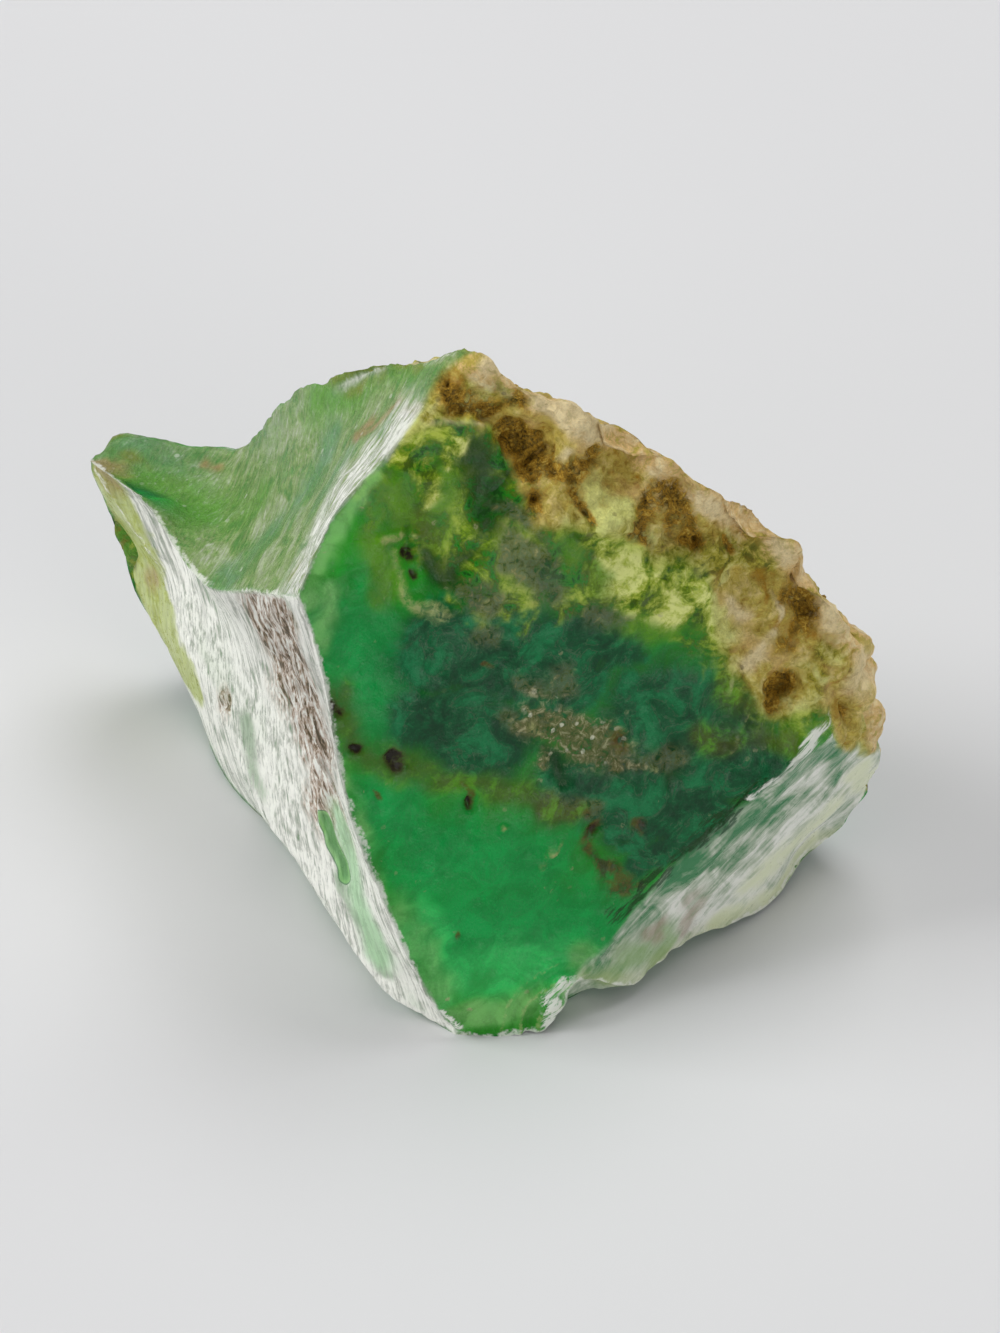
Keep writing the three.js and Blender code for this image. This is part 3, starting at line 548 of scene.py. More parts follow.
def ledges(points):
    # shell-like waves around the place where the back was struck; each whole number is a step
    away = np.linalg.norm(points - np.array(relief["struckAt"]), axis=1)
    return away / relief["ledgeEvery"] + 1.3 * waves(points, 8, 3) + 0.3 * waves(points, 2, 5)


def backRelief(points):
    steps = ledges(points)
    part = steps - np.floor(steps)
    drawn = drawnOut(points, runs["back"], 3)
    return relief["hackle"] * (1.3 * (fade(part, 0.5, 0.95) - part + 0.2) + 0.6 * rough(points, 2.4, 3)
                               - 0.3 * np.abs(waves(drawn, 0.9)))


def shapeStone(bm):
    bm.normal_update()
    sheet = Skin(bm)
    points = sheet.points
    broad = sheet.spread(sheet.normals, 6)
    broad /= np.linalg.norm(broad, axis=1)[:, None]
    shares = zoneShares(points, broad)
    ragged = waves(points, 1.1, 3) * 0.7 + waves(points, 0.42, 9) * 0.45
    moved = wander(points)
    found = {name: markStrength((points + moved) / 2 if name in steadyMarks else moved, stretches)
             for name, stretches in marks.items()}
    away = {name: distanceTo(points, line) for name, line in lines.items()}
    x, z = points[:, 0], points[:, 2]
    above = z - np.interp(x, *zip(*skin["border"]))
    found["verge"] = np.exp(-((above + 0.2) / 1.8) ** 2) * np.interp(x, *zip(*skin["verge"]))
    found["cloudy"] = fade(z - np.interp(x, *zip(*skin["cloudsFrom"])) + 2 * ragged, -1.5, 2)
    middle, reach, spacing = relief["toeRings"][:3]
    out = np.linalg.norm(points - np.array(middle), axis=1)
    crests = np.cos(2 * math.pi * (out + 0.5 * waves(points, 2.6)) / spacing)
    # how high on the stone, for the painted shade that darkens the top of the wall
    found["upper"] = fade(z, 12, 25)
    found["rings"] = crests * fade(out, reach, 0.5 * reach) * fade(out, 0.4, 1.4)
    found["nearRim"] = fade(away["rim"] + 0.7 * ragged, 2.6, 0.6)
    behind = fade(broad[:, 1], -0.1, 0.3) * fade(away["rim"], 0.5, 2)
    for name, (size, shift, least) in relief["behind"].items():
        patches = fade(waves(points, size, shift) + 0.4 * waves(points, 0.9, shift + 1), least, least + 0.3)
        found[name] = np.maximum(found[name], behind * patches)
    greener = behind * np.exp(-(aboveBackBorder(points) / 1.6) ** 2)
    found["verge"] = np.maximum(found["verge"], greener)
    heightOfStep = ledges(points)
    part = heightOfStep - np.floor(heightOfStep)
    found["ledge"] = fade(part, 0.45, 0.75) * fade(part, 1.02, 0.9) * fade(waves(points, 5, 41), -0.1, 0.35)
    nearArris = fade(away["arris"] + 0.8 * ragged, 4.6 + 2.4 * fade(z, 41, 33), 0.6)
    # pale fibres along the arris, whitened partly as painted sheen
    found["brushed"] = nearArris * fade(z, 43, 37)

    heights = {
        "front": frontRelief(points, found), "wall": wallRelief(points, found),
        "hollow": hollowRelief(points, nearArris), "bevel": bevelRelief(points),
        "rind": rindRelief(points, found), "back": backRelief(points),
        "under": relief["underside"] * rough(points, 2, 3),
    }
    height = sum(shares[name] * heights[name] for name in heights)
    for place, radius, rise in relief["lumps"]:
        height += rise * markStrength(points, [(place, place, radius)])
    crispRidges = np.min([away[name] for name in ("keel", "brow", "eave", "sill", "crest")], axis=0)
    chips = fade(waves(points, 0.9, 11) + 0.6 * waves(points, 0.4, 12), -0.05, 0.55)
    height -= relief["chipping"] * chips * fade(crispRidges, 0.7, 0)
    bed = points[:, 2] < 0.01
    height = np.where(bed, 0, height)
    height = sheet.spread(height, 1)

    shaped = points + broad * height[:, None]
    lowest = np.array(solidBox[0]) / mm + relief["margin"]
    highest = np.array(solidBox[1]) / mm - relief["margin"]
    lowest[2] = 0
    shaped = np.clip(shaped, lowest, highest)
    shaped[:, 2] = np.where(bed, 0, shaped[:, 2])
    writePoints(bm, shaped)

    wall = np.min([away[name] for name in ("keel", "brow", "eave", "sill")], axis=0)
    edgeOfLip = np.minimum(away["lip"] - 1.4, away["lipBack"] - 3)
    return {
        **shares, **found, "nearArris": nearArris,
        # frosted wear along the crisp ridges, brightened there as painted highlights
        "wearAndHighlight": np.exp(-((wall + 0.3 * ragged) / 0.35) ** 2),
        "lip": fade(edgeOfLip + 0.8 * ragged, 1.6, -0.7),
        # near the thin crest and sill, where a painted glow stands for light coming through the stone
        "thin": fade(np.minimum(away["crest"], away["sill"]) + 0.5 * ragged, 1.6, 0.2),
        # how low the rind lies between its lumps, for ginger colour there deepened by painted shade
        "hollowness": fade(heights["rind"], -0.1, -0.75), "nearBrink": fade(away["brink"], 4.5, 0),
    }


def makeStone():
    bm = divideSkin()
    layers = shapeStone(bm)
    bmesh.ops.recalc_face_normals(bm, faces=bm.faces)
    mesh = bpy.data.meshes.new("stoneSkin")
    bm.to_mesh(mesh)
    bm.free()
    for name, values in layers.items():
        layer = mesh.attributes.new(name, "FLOAT", "POINT")
        layer.data.foreach_set("value", np.ascontiguousarray(values, np.float32))
    mesh.shade_smooth()
    stone = bpy.data.objects.new("chrysopraseStone", mesh)
    bpy.context.scene.collection.objects.link(stone)
    print("stone shaped:", len(mesh.polygons), "triangles")
    return stone


# The stone: finish

palette = {
    "leaf": (0.02, 0.27, 0.012), "emerald": (0.001, 0.3, 0.045), "glow": (0.004, 0.36, 0.075),
    "lit": (0.04, 0.6, 0.13), "teal": (0.001, 0.1, 0.03), "tealLight": (0.006, 0.17, 0.055),
    "tealDark": (0.001, 0.055, 0.018), "abyss": (0.006, 0.045, 0.004), "grass": (0.1, 0.27, 0.01),
    "ochre": (0.09, 0.09, 0.004), "yellowGreen": (0.17, 0.27, 0.008), "lime": (0.42, 0.5, 0.065),
    "paleLime": (0.68, 0.72, 0.24), "olive": (0.075, 0.125, 0.006), "paleGlow": (0.2, 0.5, 0.14),
    "cream": (0.42, 0.44, 0.17), "ash": (0.045, 0.07, 0.02), "murk": (0.1, 0.115, 0.03),
    "slate": (0.08, 0.13, 0.07), "crumb": (0.16, 0.15, 0.055), "sugar": (0.38, 0.37, 0.2),
    "fleck": (0.75, 0.76, 0.58), "rust": (0.11, 0.055, 0.006), "maroon": (0.05, 0.014, 0.006),
    "black": (0.01, 0.006, 0.004), "frost": (0.88, 0.89, 0.82), "mist": (0.54, 0.56, 0.5),
    "frostGreen": (0.24, 0.36, 0.22), "rose": (0.6, 0.5, 0.43), "bark": (0.3, 0.21, 0.13),
    "furrow": (0.09, 0.06, 0.025), "lens": (0.07, 0.22, 0.08), "innerPale": (0.42, 0.66, 0.4),
    "hollowDark": (0.1, 0.25, 0.06), "sage": (0.22, 0.33, 0.11), "greyGreen": (0.36, 0.43, 0.26),
    "hollowTeal": (0.07, 0.25, 0.1), "meadow": (0.1, 0.3, 0.03), "hay": (0.2, 0.22, 0.03),
    "blush": (0.34, 0.2, 0.09), "bevelDark": (0.06, 0.24, 0.1), "bevelGreen": (0.22, 0.36, 0.22),
    "bevelPale": (0.5, 0.57, 0.45), "sunny": (0.74, 0.8, 0.5), "lip": (0.36, 0.42, 0.06),
    "bevelLime": (0.22, 0.4, 0.12), "lipPale": (0.48, 0.55, 0.22), "umber": (0.07, 0.045, 0.005),
    "pitBrown": (0.26, 0.15, 0.014), "ginger": (0.46, 0.25, 0.02), "gold": (0.66, 0.48, 0.09),
    "tan": (0.48, 0.33, 0.06), "straw": (0.56, 0.45, 0.09), "rindCream": (0.74, 0.59, 0.23),
    "rimCream": (0.84, 0.7, 0.4), "peach": (0.8, 0.54, 0.24), "moss": (0.38, 0.35, 0.03),
    "mossPale": (0.62, 0.58, 0.18), "underDark": (0.01, 0.1, 0.02), "underGreen": (0.02, 0.22, 0.05),
}

blends = {  # colours that follow a texture, and where along it each of them comes
    "teals": ("soft", [(0.4, "tealDark"), (0.5, "teal"), (0.6, "tealLight")]),
    "cloudy": ("soft", [(0.4, "abyss"), (0.44, "leaf"), (0.48, "olive"), (0.53, "yellowGreen"),
                        (0.62, "lime")]),
    "vergeGreens": ("soft", [(0.42, "olive"), (0.48, "yellowGreen"), (0.58, "lime")]),
    "murky": ("fine", [(0.38, "abyss"), (0.46, "murk"), (0.54, "slate"), (0.64, "crumb"), (0.72, "sugar")]),
    "olives": ("soft", [(0.43, "ochre"), (0.5, "olive"), (0.58, "grass")]),
    "yellows": ("soft", [(0.4, "olive"), (0.45, "yellowGreen"), (0.51, "lime"), (0.58, "paleLime")]),
    "crumbs": ("fine", [(0.38, "ash"), (0.47, "murk"), (0.54, "crumb"), (0.64, "sugar")]),
    "rusty": ("soft", [(0.43, "maroon"), (0.5, "rust"), (0.58, "ochre")]),
    # the wall's pale fibres; their brightest white is partly painted sheen
    "fibrous": ("felt", [(0.34, "frostGreen"), (0.43, "mist"), (0.52, "frost")]),
    # its dark furrow stop is the bruise's brown, deepened as painted shade between the fibres
    "bruised": ("threads", [(0.38, "furrow"), (0.44, "bark"), (0.5, "rose"), (0.6, "frost")]),
    "lipEdge": ("even", [(0.42, "lip"), (0.56, "lipPale")]),
    "silky": ("silk", [(0.4, "hollowDark"), (0.49, "sage"), (0.6, "greyGreen")]),
    # the arris fibres: pale grey-green, their white partly painted sheen
    "brushedWhite": ("tow", [(0.34, "sage"), (0.4, "greyGreen"), (0.48, "mist"), (0.57, "frost")]),
    # the bevel's streaks, green to white; the pale and white are partly its frosted colour and partly painted
    # sheen
    "bevelled": ("slope", [(0.33, "bevelDark"), (0.39, "bevelGreen"), (0.46, "bevelPale"),
                           (0.56, "frost")]),
    "crusty": ("crust", [(0.38, "ginger"), (0.44, "tan"), (0.51, "straw"), (0.6, "rindCream")]),
    "mossy": ("soft", [(0.4, "olive"), (0.46, "moss"), (0.54, "mossPale"), (0.64, "paleLime")]),
    "rimTones": ("soft", [(0.42, "straw"), (0.48, "peach"), (0.58, "rimCream")]),
    "low": ("mixed", [(0.4, "ginger"), (0.48, "gold"), (0.58, "straw")]),
    "rotten": ("rot", [(0.42, "umber"), (0.48, "pitBrown"), (0.55, "ginger"), (0.62, "gold"),
                       (0.7, "mossPale")]),
    "backGreens": ("depth", [(0.38, "tealDark"), (0.46, "teal"), (0.51, "tealLight"), (0.56, "emerald"),
                             (0.64, "glow")]),
    "backCloudy": ("soft", [(0.42, "abyss"), (0.48, "olive"), (0.54, "yellowGreen"), (0.62, "lime")]),
    "backLip": ("soft", [(0.42, "hay"), (0.5, "meadow"), (0.58, "lip")]),
    "underGreens": ("broad", [(0.38, "underDark"), (0.5, "underGreen"), (0.62, "olive")]),
}

coats = {  # colour or blend, its layer, what breaks it up and how much, where it is cut, the most
    "front": [
        ("emerald", "emerald", "broad", 1.6, 0.05, 0.75, 1), ("glow", "emerald", "soft", 0.8, 0.6, 1.3, 0.75),
        ("teals", "deep", "broad", 2, 0.06, 0.62, 0.97), ("lit", "lit", "broad", 1.2, 0.15, 1.1, 0.8),
        ("cloudy", "cloudy", "soft", 2, 0.1, 0.9, 0.85), ("grass", "grassy", "soft", 2, 0.1, 1, 0.9),
        ("vergeGreens", "verge", "broad", 3, 0.2, 1, 0.85), ("abyss", "shade", "soft", 2.4, 0.05, 1.1, 0.9),
        ("murky", "murk", "soft", 3, 0.08, 0.9, 0.85), ("olives", "olive", "soft", 3, 0.02, 1.2, 0.85),
        # paleGlow here is painted glow along the thin left edge and the foot
        ("paleGlow", "pale", "broad", 1.6, 0.1, 1.1, 0.8), ("lipPale", "rings", "fine", 3, 0.5, 1.1, 0.4),
        ("yellows", "yellow", "soft", 2.4, 0.08, 0.8, 0.95), ("crumbs", "grain", "fine", 3.4, 0.12, 0.8, 0.9),
    ],
    "frontMarks": [
        ("rusty", "rust", "fine", 3, 0.15, 1, 0.8), ("cream", "cream", "fine", 4, 0.1, 1.3, 0.7),
        ("abyss", "scales", "shards", 6, 0.4, 0.9, 0.85), ("maroon", "dark", "fine", 3, 0.05, 0.7, 0.8),
        ("black", "dark", "fine", 3, 0.4, 0.85, 0.9),
    ],
    # white fibres at the right edge, partly painted highlights, and painted highlights on the lips of the
    # foot
    "frontFibresAndHighlights": [("frost", "silver", "shards", 4, 0.35, 0.9, 0.9)],
    "wall": [
        ("frostGreen", "wallGreen", "fibres", 2.5, 0.2, 1, 0.75),
        ("bruised", "bruise", "fibres", 2.2, 0.12, 0.7, 0.95),
        ("innerPale", "inner", "broad", 1, 0.05, 0.9, 0.9),
    ],
    "wallEdge": [
        ("lipEdge", "lip", "broad", 1, 0.15, 0.75, 0.95), ("blush", "blush", "broad", 2, 0.15, 1, 0.6),
    ],
    "hollow": [
        ("hollowTeal", "teal", "broad", 3, 0.05, 1.2, 0.7), ("meadow", "meadow", "broad", 2, 0.1, 1, 0.85),
        ("hay", "hay", "broad", 2.4, 0.1, 1, 0.85), ("blush", "blush", "broad", 2.4, 0.15, 1, 0.7),
    ],
    # pale fibres along the arris, partly painted sheen
    "hollowFibresAndSheen": [("brushedWhite", "brushed", "broad", 2, 0.1, 0.9, 0.95)],
    "bevel": [
        # sunny: pale yellow-green, partly painted light lifting a dent's shade
        ("bevelLime", "meadow", "broad", 2.4, 0.1, 1, 0.7), ("sunny", "sunny", "broad", 2, 0.1, 1.1, 0.7),
    ],
    "bevelMarks": [
        ("tealDark", "scales", "shards", 6, 0.5, 1, 0.8), ("bark", "blush", "ripples", 3, 0.1, 1.1, 0.6),
    ],
    "rind": [
        ("mossy", "verge", "broad", 2.4, 0.12, 0.8, 0.9), ("mossy", "moss", "broad", 2, 0.12, 0.8, 0.9),
        ("paleLime", "yellow", "soft", 2, 0.2, 1, 0.7), ("rimTones", "nearRim", "broad", 1.4, 0.15, 0.9, 0.9),
        ("rimCream", "rimCream", "fine", 1.2, 0.25, 1, 0.85),
    ],
    "rindPits": [
        # low: the rind's ginger hollows, partly their own colour and partly painted shade
        ("low", "hollowness", "fine", 3, 0.35, 1.2, 0.6), ("rotten", "pit", "fine", 3.6, 0.2, 0.7, 0.96),
    ],
    "back": [("backCloudy", "verge", "broad", 3, 0.15, 0.9, 0.9)],
    "backLedges": [("frost", "ledge", "drawn", 5, 0.4, 1.4, 0.7)],
    "backEdge": [("backLip", "lip", "broad", 1, 0.15, 0.75, 0.9)],
}

textures = {  # size in mm, detail, roughness and swirl
    "broad": (2.6, 5, 0.6, 1), "fine": (0.55, 5, 0.66, 0.6), "dust": (0.17, 3, 0.7, 0),
    "ridgeBreakup": (0.5, 4, 0.65, 0), "bloom": (3, 2, 0.55, 0), "veils": (5, 4, 0.6, 1), "vast": (9, 4, 0.5, 1.2),
}
combed = {  # the run that each follows, how far it is drawn out, and its size in mm
    "fibres": ("wall", 14, 0.3), "threads": ("wall", 6, 0.26), "streaks": ("hollow", 12, 0.22),
    "tow": ("bundle", 12, 0.24), "ripples": ("bevel", 6, 0.8), "shards": ("bevel", 8, 0.26),
    "drawn": ("back", 4, 0.5),
}
averages = {  # two textures and the share of the second
    "mixed": ("fine", "dust", 0.5), "soft": ("broad", "fine", 0.35), "felt": ("fibres", "broad", 0.45),
    "silk": ("streaks", "broad", 0.6), "crust": ("broad", "fine", 0.4), "even": ("broad", "fine", 0.5),
    "rot": ("fine", "dust", 0.35), "depth": ("vast", "soft", 0.25), "tone": ("broad", "dust", 0.3),
    "chips": ("ripples", "shards", 0.35), "slope": ("chips", "broad", 0.45),
}
slopeShifts = {"nearBrink": -0.07, "grey": -0.12, "sunny": 0.07}  # greener or whiter parts of the bevel; the whitening by sunny is partly painted light on a dent
speckSize = 0.5

def addNode(tree, kind, inputs=None, **settings):
    made = tree.nodes.new(kind)
    for name, value in settings.items():
        setattr(made, name, value)
    for name, value in (inputs or {}).items():
        if isinstance(value, bpy.types.NodeSocket):
            tree.links.new(value, made.inputs[name])
        else:
            made.inputs[name].default_value = value
    return made


def layerOf(tree, name):
    return addNode(tree, "ShaderNodeAttribute", attribute_name=name).outputs["Fac"]


def paint(tree, under, over, amount):
    mixer = addNode(tree, "ShaderNodeMix", data_type="RGBA")
    for slot, value in ((0, amount), (6, under), (7, over)):
        if isinstance(value, bpy.types.NodeSocket):
            tree.links.new(value, mixer.inputs[slot])
        else:
            mixer.inputs[slot].default_value = value if slot == 0 else (*palette[value], 1)
    return mixer.outputs[2]


def shaded(tree, colour, light):
    # the colour made darker or lighter by a texture
    return addNode(tree, "ShaderNodeVectorMath", {0: colour, "Scale": light}, operation="SCALE").outputs[0]


def sums(tree, first, second, operation="MULTIPLY"):
    return addNode(tree, "ShaderNodeMath", {0: first, 1: second}, operation=operation).outputs[0]


def average(tree, first, second, share=0.5):
    return addNode(tree, "ShaderNodeMix", {0: share, 2: first, 3: second}, data_type="FLOAT").outputs[0]


def between(tree, value, low, high, start=0.0, end=1.0):
    made = addNode(tree, "ShaderNodeMapRange", {"Value": value, "From Min": low, "From Max": high,
                                                "To Min": start, "To Max": end},
                   interpolation_type="SMOOTHSTEP")
    return made.outputs["Result"]


def ramp(tree, value, stops):
    made = addNode(tree, "ShaderNodeValToRGB", {"Fac": value})
    elements = made.color_ramp.elements
    while len(elements) < len(stops):
        elements.new(0.5)
    for element, (position, name) in zip(elements, stops):
        element.position = position
        element.color = (*palette[name], 1)
    return made.outputs["Color"]


def space(tree, run=None, stretch=1.0):
    # object coordinates in mm, drawn out along a run
    turned = Vector(run if run is not None else (0, 0, 1)).to_track_quat("Z", "Y").to_euler()
    spots = addNode(tree, "ShaderNodeTexCoord").outputs["Object"]
    return addNode(tree, "ShaderNodeMapping", {"Vector": spots, "Rotation": turned,
                                               "Scale": (mm, mm, mm * stretch)},
                   vector_type="TEXTURE").outputs["Vector"]


def clouds(tree, where, size, detail=3.0, roughness=0.55, swirl=0.0):
    made = addNode(tree, "ShaderNodeTexNoise", {"Vector": where, "Scale": 1 / size, "Detail": detail,
                                                "Roughness": roughness, "Distortion": swirl})
    return made.outputs["Fac"]


def crystals(tree, grains, share):
    # separate grains of half a millimetre, in a share of the places where one could be
    return sums(tree, grains["speck"], between(tree, grains["chance"], 1 - share, 1.1 - share))


def mottled(tree, name, texture, gain=3.0, low=0.0, high=1.0, most=1.0):
    # a layer broken up by a texture, then cut between low and high
    strength = addNode(tree, "ShaderNodeMath", {0: texture, 1: gain, 2: 1 - gain / 2},
                       operation="MULTIPLY_ADD").outputs[0]
    return between(tree, sums(tree, layerOf(tree, name), strength), low, high, 0.0, most)


def makeTextures(tree):
    plain = space(tree)
    made = {name: clouds(tree, plain, *settings) for name, settings in textures.items()}
    for name, (run, stretch, size) in combed.items():
        made[name] = clouds(tree, space(tree, runs[run], stretch), size, 3, 0.68)
    for name, (first, second, share) in averages.items():
        made[name] = average(tree, made[first], made[second], share)
    for name, shift in slopeShifts.items():
        made["slope"] = sums(tree, made["slope"], sums(tree, layerOf(tree, name), shift), "ADD")
    speck = addNode(tree, "ShaderNodeTexVoronoi", {"Vector": plain, "Scale": 1 / speckSize})
    made["speck"] = between(tree, speck.outputs["Distance"], 0.46, 0.26)
    colours = addNode(tree, "ShaderNodeSeparateColor", {"Color": speck.outputs["Color"]})
    made["chance"] = colours.outputs["Red"]
    return made


def toned(tree, grains, name):
    if name not in blends:
        return name
    texture, stops = blends[name]
    return ramp(tree, grains[texture], stops)


def coat(tree, grains, colour, name):
    for over, layer, texture, gain, low, high, most in coats[name]:
        amount = mottled(tree, layer, grains[texture], gain, low, high, most)
        colour = paint(tree, colour, toned(tree, grains, over), amount)
    return colour


def frontColour(tree, grains):
    broad, fine = grains["broad"], grains["fine"]
    colour = coat(tree, grains, "leaf", "front")
    sugary = sums(tree, crystals(tree, grains, 0.3), mottled(tree, "grain", fine, 2, 0.2, 0.7))
    flecks = sums(tree, sugary, between(tree, grains["dust"], 0.4, 0.55, 0.35, 0.7))
    colour = paint(tree, colour, "fleck", flecks)
    specks = sums(tree, crystals(tree, grains, 0.07), between(tree, fine, 0.48, 0.6, 0, 0.8))
    colour = paint(tree, colour, "sugar", specks)
    seam = sums(tree, between(tree, broad, 0.5, 0.512), between(tree, broad, 0.53, 0.512))
    seam = sums(tree, seam, between(tree, layerOf(tree, "deep"), 0.2, 0.8, 0.1, 0.5))
    colour = coat(tree, grains, paint(tree, colour, "slate", seam), "frontMarks")
    colour = shaded(tree, colour, between(tree, grains["tone"], 0.38, 0.62, 0.84, 1.16))
    return coat(tree, grains, colour, "frontFibresAndHighlights")


def wallColour(tree, grains):
    colour = coat(tree, grains, toned(tree, grains, "fibrous"), "wall")
    lens = layerOf(tree, "lens")
    rim = sums(tree, between(tree, lens, 0.4, 0.46), between(tree, lens, 0.56, 0.5))
    colour = paint(tree, colour, "paleGlow", between(tree, lens, 0.4, 0.6, 0, 0.85))
    colour = paint(tree, colour, "lens", between(tree, lens, 0.6, 0.95, 0, 0.6))
    colour = paint(tree, colour, "lens", sums(tree, rim, 0.85))
    colour = coat(tree, grains, colour, "wallEdge")
    # painted shade: the wall darker towards its top
    colour = shaded(tree, colour, between(tree, layerOf(tree, "upper"), 0, 1, 1.04, 0.82))
    return shaded(tree, colour, between(tree, grains["fibres"], 0.36, 0.6, 0.88, 1.08))


def hollowColour(tree, grains):
    colour = coat(tree, grains, toned(tree, grains, "silky"), "hollow")
    colour = shaded(tree, colour, between(tree, grains["mixed"], 0.34, 0.66, 0.8, 1.2))
    # white streaks near the arris: pale fibres, partly painted sheen
    silver = sums(tree, between(tree, grains["streaks"], 0.55, 0.72),
                  between(tree, grains["broad"], 0.44, 0.6, 0, 0.8))
    silver = sums(tree, silver, between(tree, layerOf(tree, "nearArris"), 0, 0.4, 0.3, 1))
    colour = paint(tree, colour, "frost", silver)
    colour = paint(tree, colour, "frost", sums(tree, crystals(tree, grains, 0.06), 0.5))
    return coat(tree, grains, colour, "hollowFibresAndSheen")


def bevelColour(tree, grains):
    colour = coat(tree, grains, toned(tree, grains, "bevelled"), "bevel")
    # painted glow: lighter along the thin sill, where light comes through
    colour = paint(tree, colour, "lipPale", sums(tree, layerOf(tree, "thin"), 0.4))
    return coat(tree, grains, colour, "bevelMarks")


def rindColour(tree, grains):
    colour = toned(tree, grains, "crusty")
    colour = paint(tree, colour, "peach", between(tree, grains["bloom"], 0.48, 0.66, 0, 0.5))
    colour = coat(tree, grains, colour, "rind")
    colour = shaded(tree, colour, between(tree, grains["mixed"], 0.36, 0.64, 0.86, 1.12))
    colour = coat(tree, grains, colour, "rindPits")
    return paint(tree, colour, "umber", sums(tree, crystals(tree, grains, 0.06), 0.85))


def backColour(tree, grains):
    colour = coat(tree, grains, toned(tree, grains, "backGreens"), "back")
    veils = between(tree, grains["veils"], 0.56, 0.72, 0, 0.7)
    colour = paint(tree, colour, toned(tree, grains, "backCloudy"), veils)
    colour = coat(tree, grains, colour, "backLedges")
    colour = shaded(tree, colour, between(tree, grains["tone"], 0.38, 0.62, 0.84, 1.16))
    # painted glow: lighter along the thin crest and sill, where light comes through
    colour = paint(tree, colour, "sage", sums(tree, layerOf(tree, "thin"), 0.5))
    colour = paint(tree, colour, "slate", sums(tree, crystals(tree, grains, 0.06), 0.7))
    return coat(tree, grains, colour, "backEdge")


def underColour(tree, grains):
    return toned(tree, grains, "underGreens")


def roughnessOf(tree, grains):
    waxy = between(tree, grains["fine"], 0.35, 0.65, 0.14, 0.3)
    matt = sums(tree, layerOf(tree, "rind"), 0.34)
    frosty = sums(tree, sums(tree, layerOf(tree, "wall"), layerOf(tree, "bevel"), "ADD"), 0.12)
    return sums(tree, sums(tree, waxy, matt, "ADD"), frosty, "ADD")


bumpDepth = {  # of the finest relief, in mm
    "fine": ("rind", 0.3), "fibres": ("wall", 0.15), "streaks": ("hollow", 0.16),
    "ripples": ("bevel", 0.14), "drawn": ("back", 0.2),
}
bumpEverywhere = 0.07


def bumps(tree, grains):
    height = sums(tree, grains["mixed"], bumpEverywhere)
    for grain, (zone, depth) in bumpDepth.items():
        part = sums(tree, grains[grain], layerOf(tree, zone))
        height = addNode(tree, "ShaderNodeMath", {0: part, 1: depth, 2: height},
                         operation="MULTIPLY_ADD").outputs[0]
    made = addNode(tree, "ShaderNodeBump", {"Height": height, "Strength": 1, "Distance": mm})
    return made.outputs["Normal"]


def chrysopraseFinish():
    material = bpy.data.materials.new("chrysopraseAndRind")
    material.use_nodes = True
    tree = material.node_tree
    shader = tree.nodes["Principled BSDF"]
    grains = makeTextures(tree)
    colour = frontColour(tree, grains)
    for name, zoneColour in (("bevel", bevelColour), ("wall", wallColour), ("hollow", hollowColour),
                             ("back", backColour), ("under", underColour), ("rind", rindColour)):
        colour = paint(tree, colour, zoneColour(tree, grains), layerOf(tree, name))
    # white along the crisp ridges: frosted wear and painted highlights
    wornAndHighlit = mottled(tree, "wearAndHighlight", grains["ridgeBreakup"], 4, 0.4, 1.1, 0.7)
    tree.links.new(paint(tree, colour, "frost", wornAndHighlit), shader.inputs["Base Color"])
    tree.links.new(roughnessOf(tree, grains), shader.inputs["Roughness"])
    tree.links.new(bumps(tree, grains), shader.inputs["Normal"])
    shader.inputs["IOR"].default_value = 1.54
    shader.inputs["Specular IOR Level"].default_value = 0.17
    return material


stone = makeStone()
stone.data.materials.append(chrysopraseFinish())
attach(stone, "root")
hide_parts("stone")
print("stone finished")


# Floor, lights and camera

floor = {"side": 3.0, "colour": (0.74, 0.74, 0.75, 1), "roughness": 0.6}


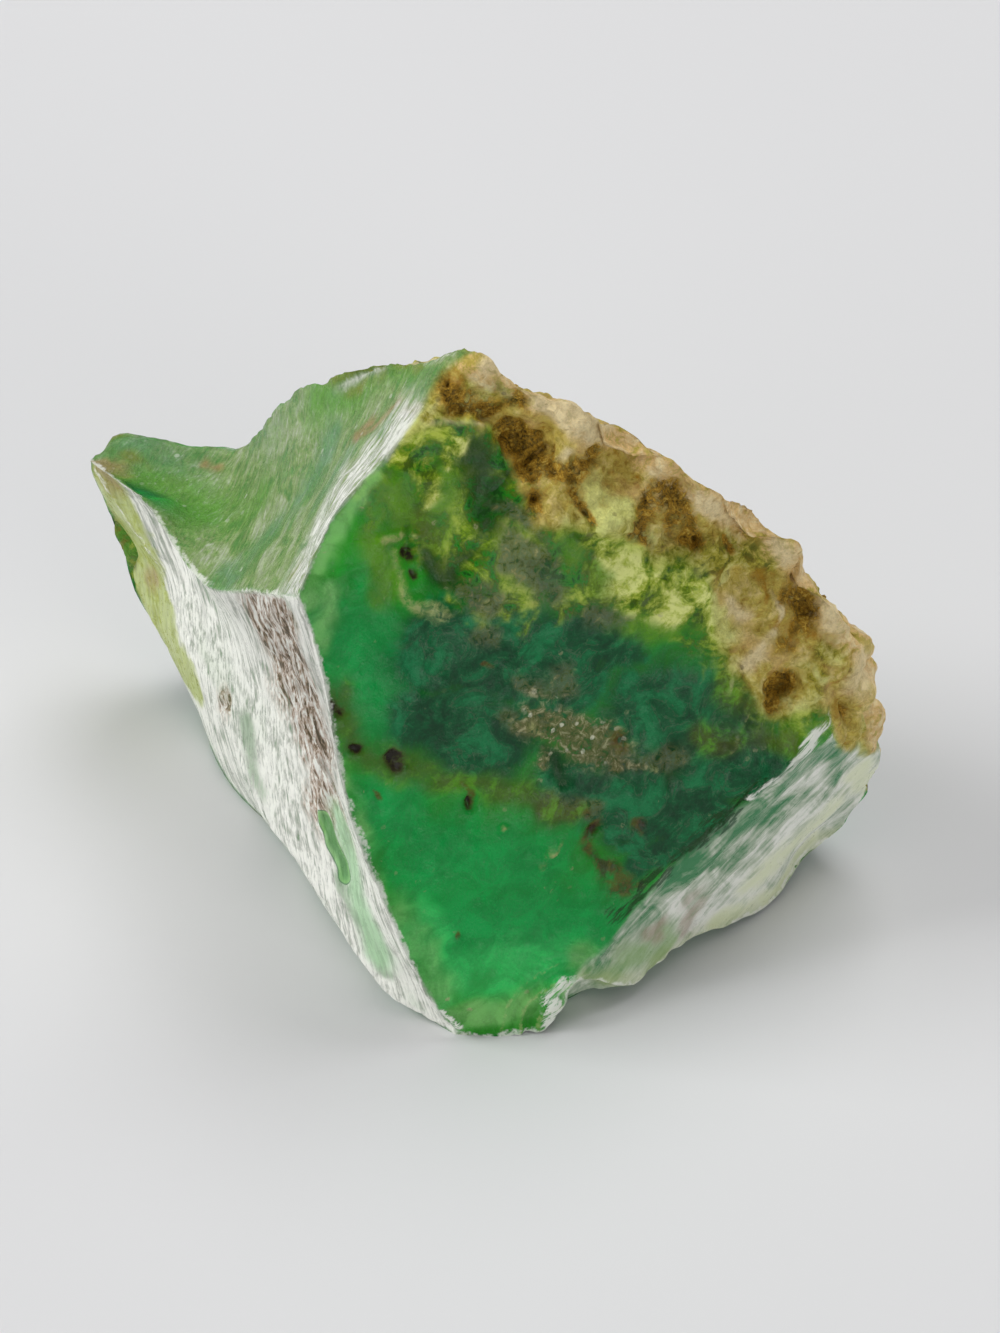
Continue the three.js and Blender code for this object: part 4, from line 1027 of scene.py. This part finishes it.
def makeFloor():
    bm = bmesh.new()
    bmesh.ops.create_grid(bm, x_segments=1, y_segments=1, size=floor["side"] / 2)
    mesh = bpy.data.meshes.new("paleFloor")
    bm.to_mesh(mesh)
    bm.free()
    made = bpy.data.objects.new("paleFloor", mesh)
    bpy.context.scene.collection.objects.link(made)
    material = bpy.data.materials.new("paleFloor")
    material.use_nodes = True
    shader = material.node_tree.nodes["Principled BSDF"]
    shader.inputs["Base Color"].default_value = floor["colour"]
    shader.inputs["Roughness"].default_value = floor["roughness"]
    mesh.materials.append(material)


lamps = {  # place, side and watts, in metres
    "leftLamp": ((-0.6, -0.06, 0.46), 0.3, 3.2),
    "topLamp": ((0.1, 0.3, 0.75), 0.45, 2.6),
    "frontLamp": ((0.52, -0.64, 0.24), 0.35, 1.6),
    "wallLamp": ((-0.55, -0.5, 0.14), 0.3, 0.6),
    "backLamp": ((0.5, 0.55, 0.3), 0.4, 0.9),
}
skyLight = 0.2


def makeLights():
    aim = Vector((0, 0, 0.018))
    for name, (place, side, watts) in lamps.items():
        data = bpy.data.lights.new(name, "AREA")
        data.size = side
        data.energy = watts
        lamp = bpy.data.objects.new(name, data)
        lamp.location = place
        lamp.rotation_euler = (aim - Vector(place)).to_track_quat("-Z", "Y").to_euler()
        bpy.context.scene.collection.objects.link(lamp)
    world = bpy.data.worlds.new("softStudio")
    world.use_nodes = True
    background = world.node_tree.nodes["Background"]
    background.inputs["Color"].default_value = (1, 1, 1, 1)
    background.inputs["Strength"].default_value = skyLight
    bpy.context.scene.world = world


view = {"pitch": 44.1, "roll": 5.44, "distance": 0.4111, "aim": (0.00134, 0.01614, 0), "lens": 163.2}


def makeCamera():
    data = bpy.data.cameras.new("camera")
    data.lens = view["lens"]
    data.sensor_width = 36
    data.clip_start = 0.01
    camera = bpy.data.objects.new("camera", data)
    turn = Euler((math.radians(90 - view["pitch"]), 0, 0)).to_matrix().to_4x4()
    roll = Matrix.Rotation(math.radians(view["roll"]), 4, "Z")
    back = Matrix.Translation((0, 0, view["distance"]))
    camera.matrix_world = Matrix.Translation(view["aim"]) @ turn @ roll @ back
    bpy.context.scene.collection.objects.link(camera)
    bpy.context.scene.camera = camera


makeFloor()
makeLights()
makeCamera()
bpy.context.scene.view_settings.view_transform = "Standard"
print("floor, lights and camera set")
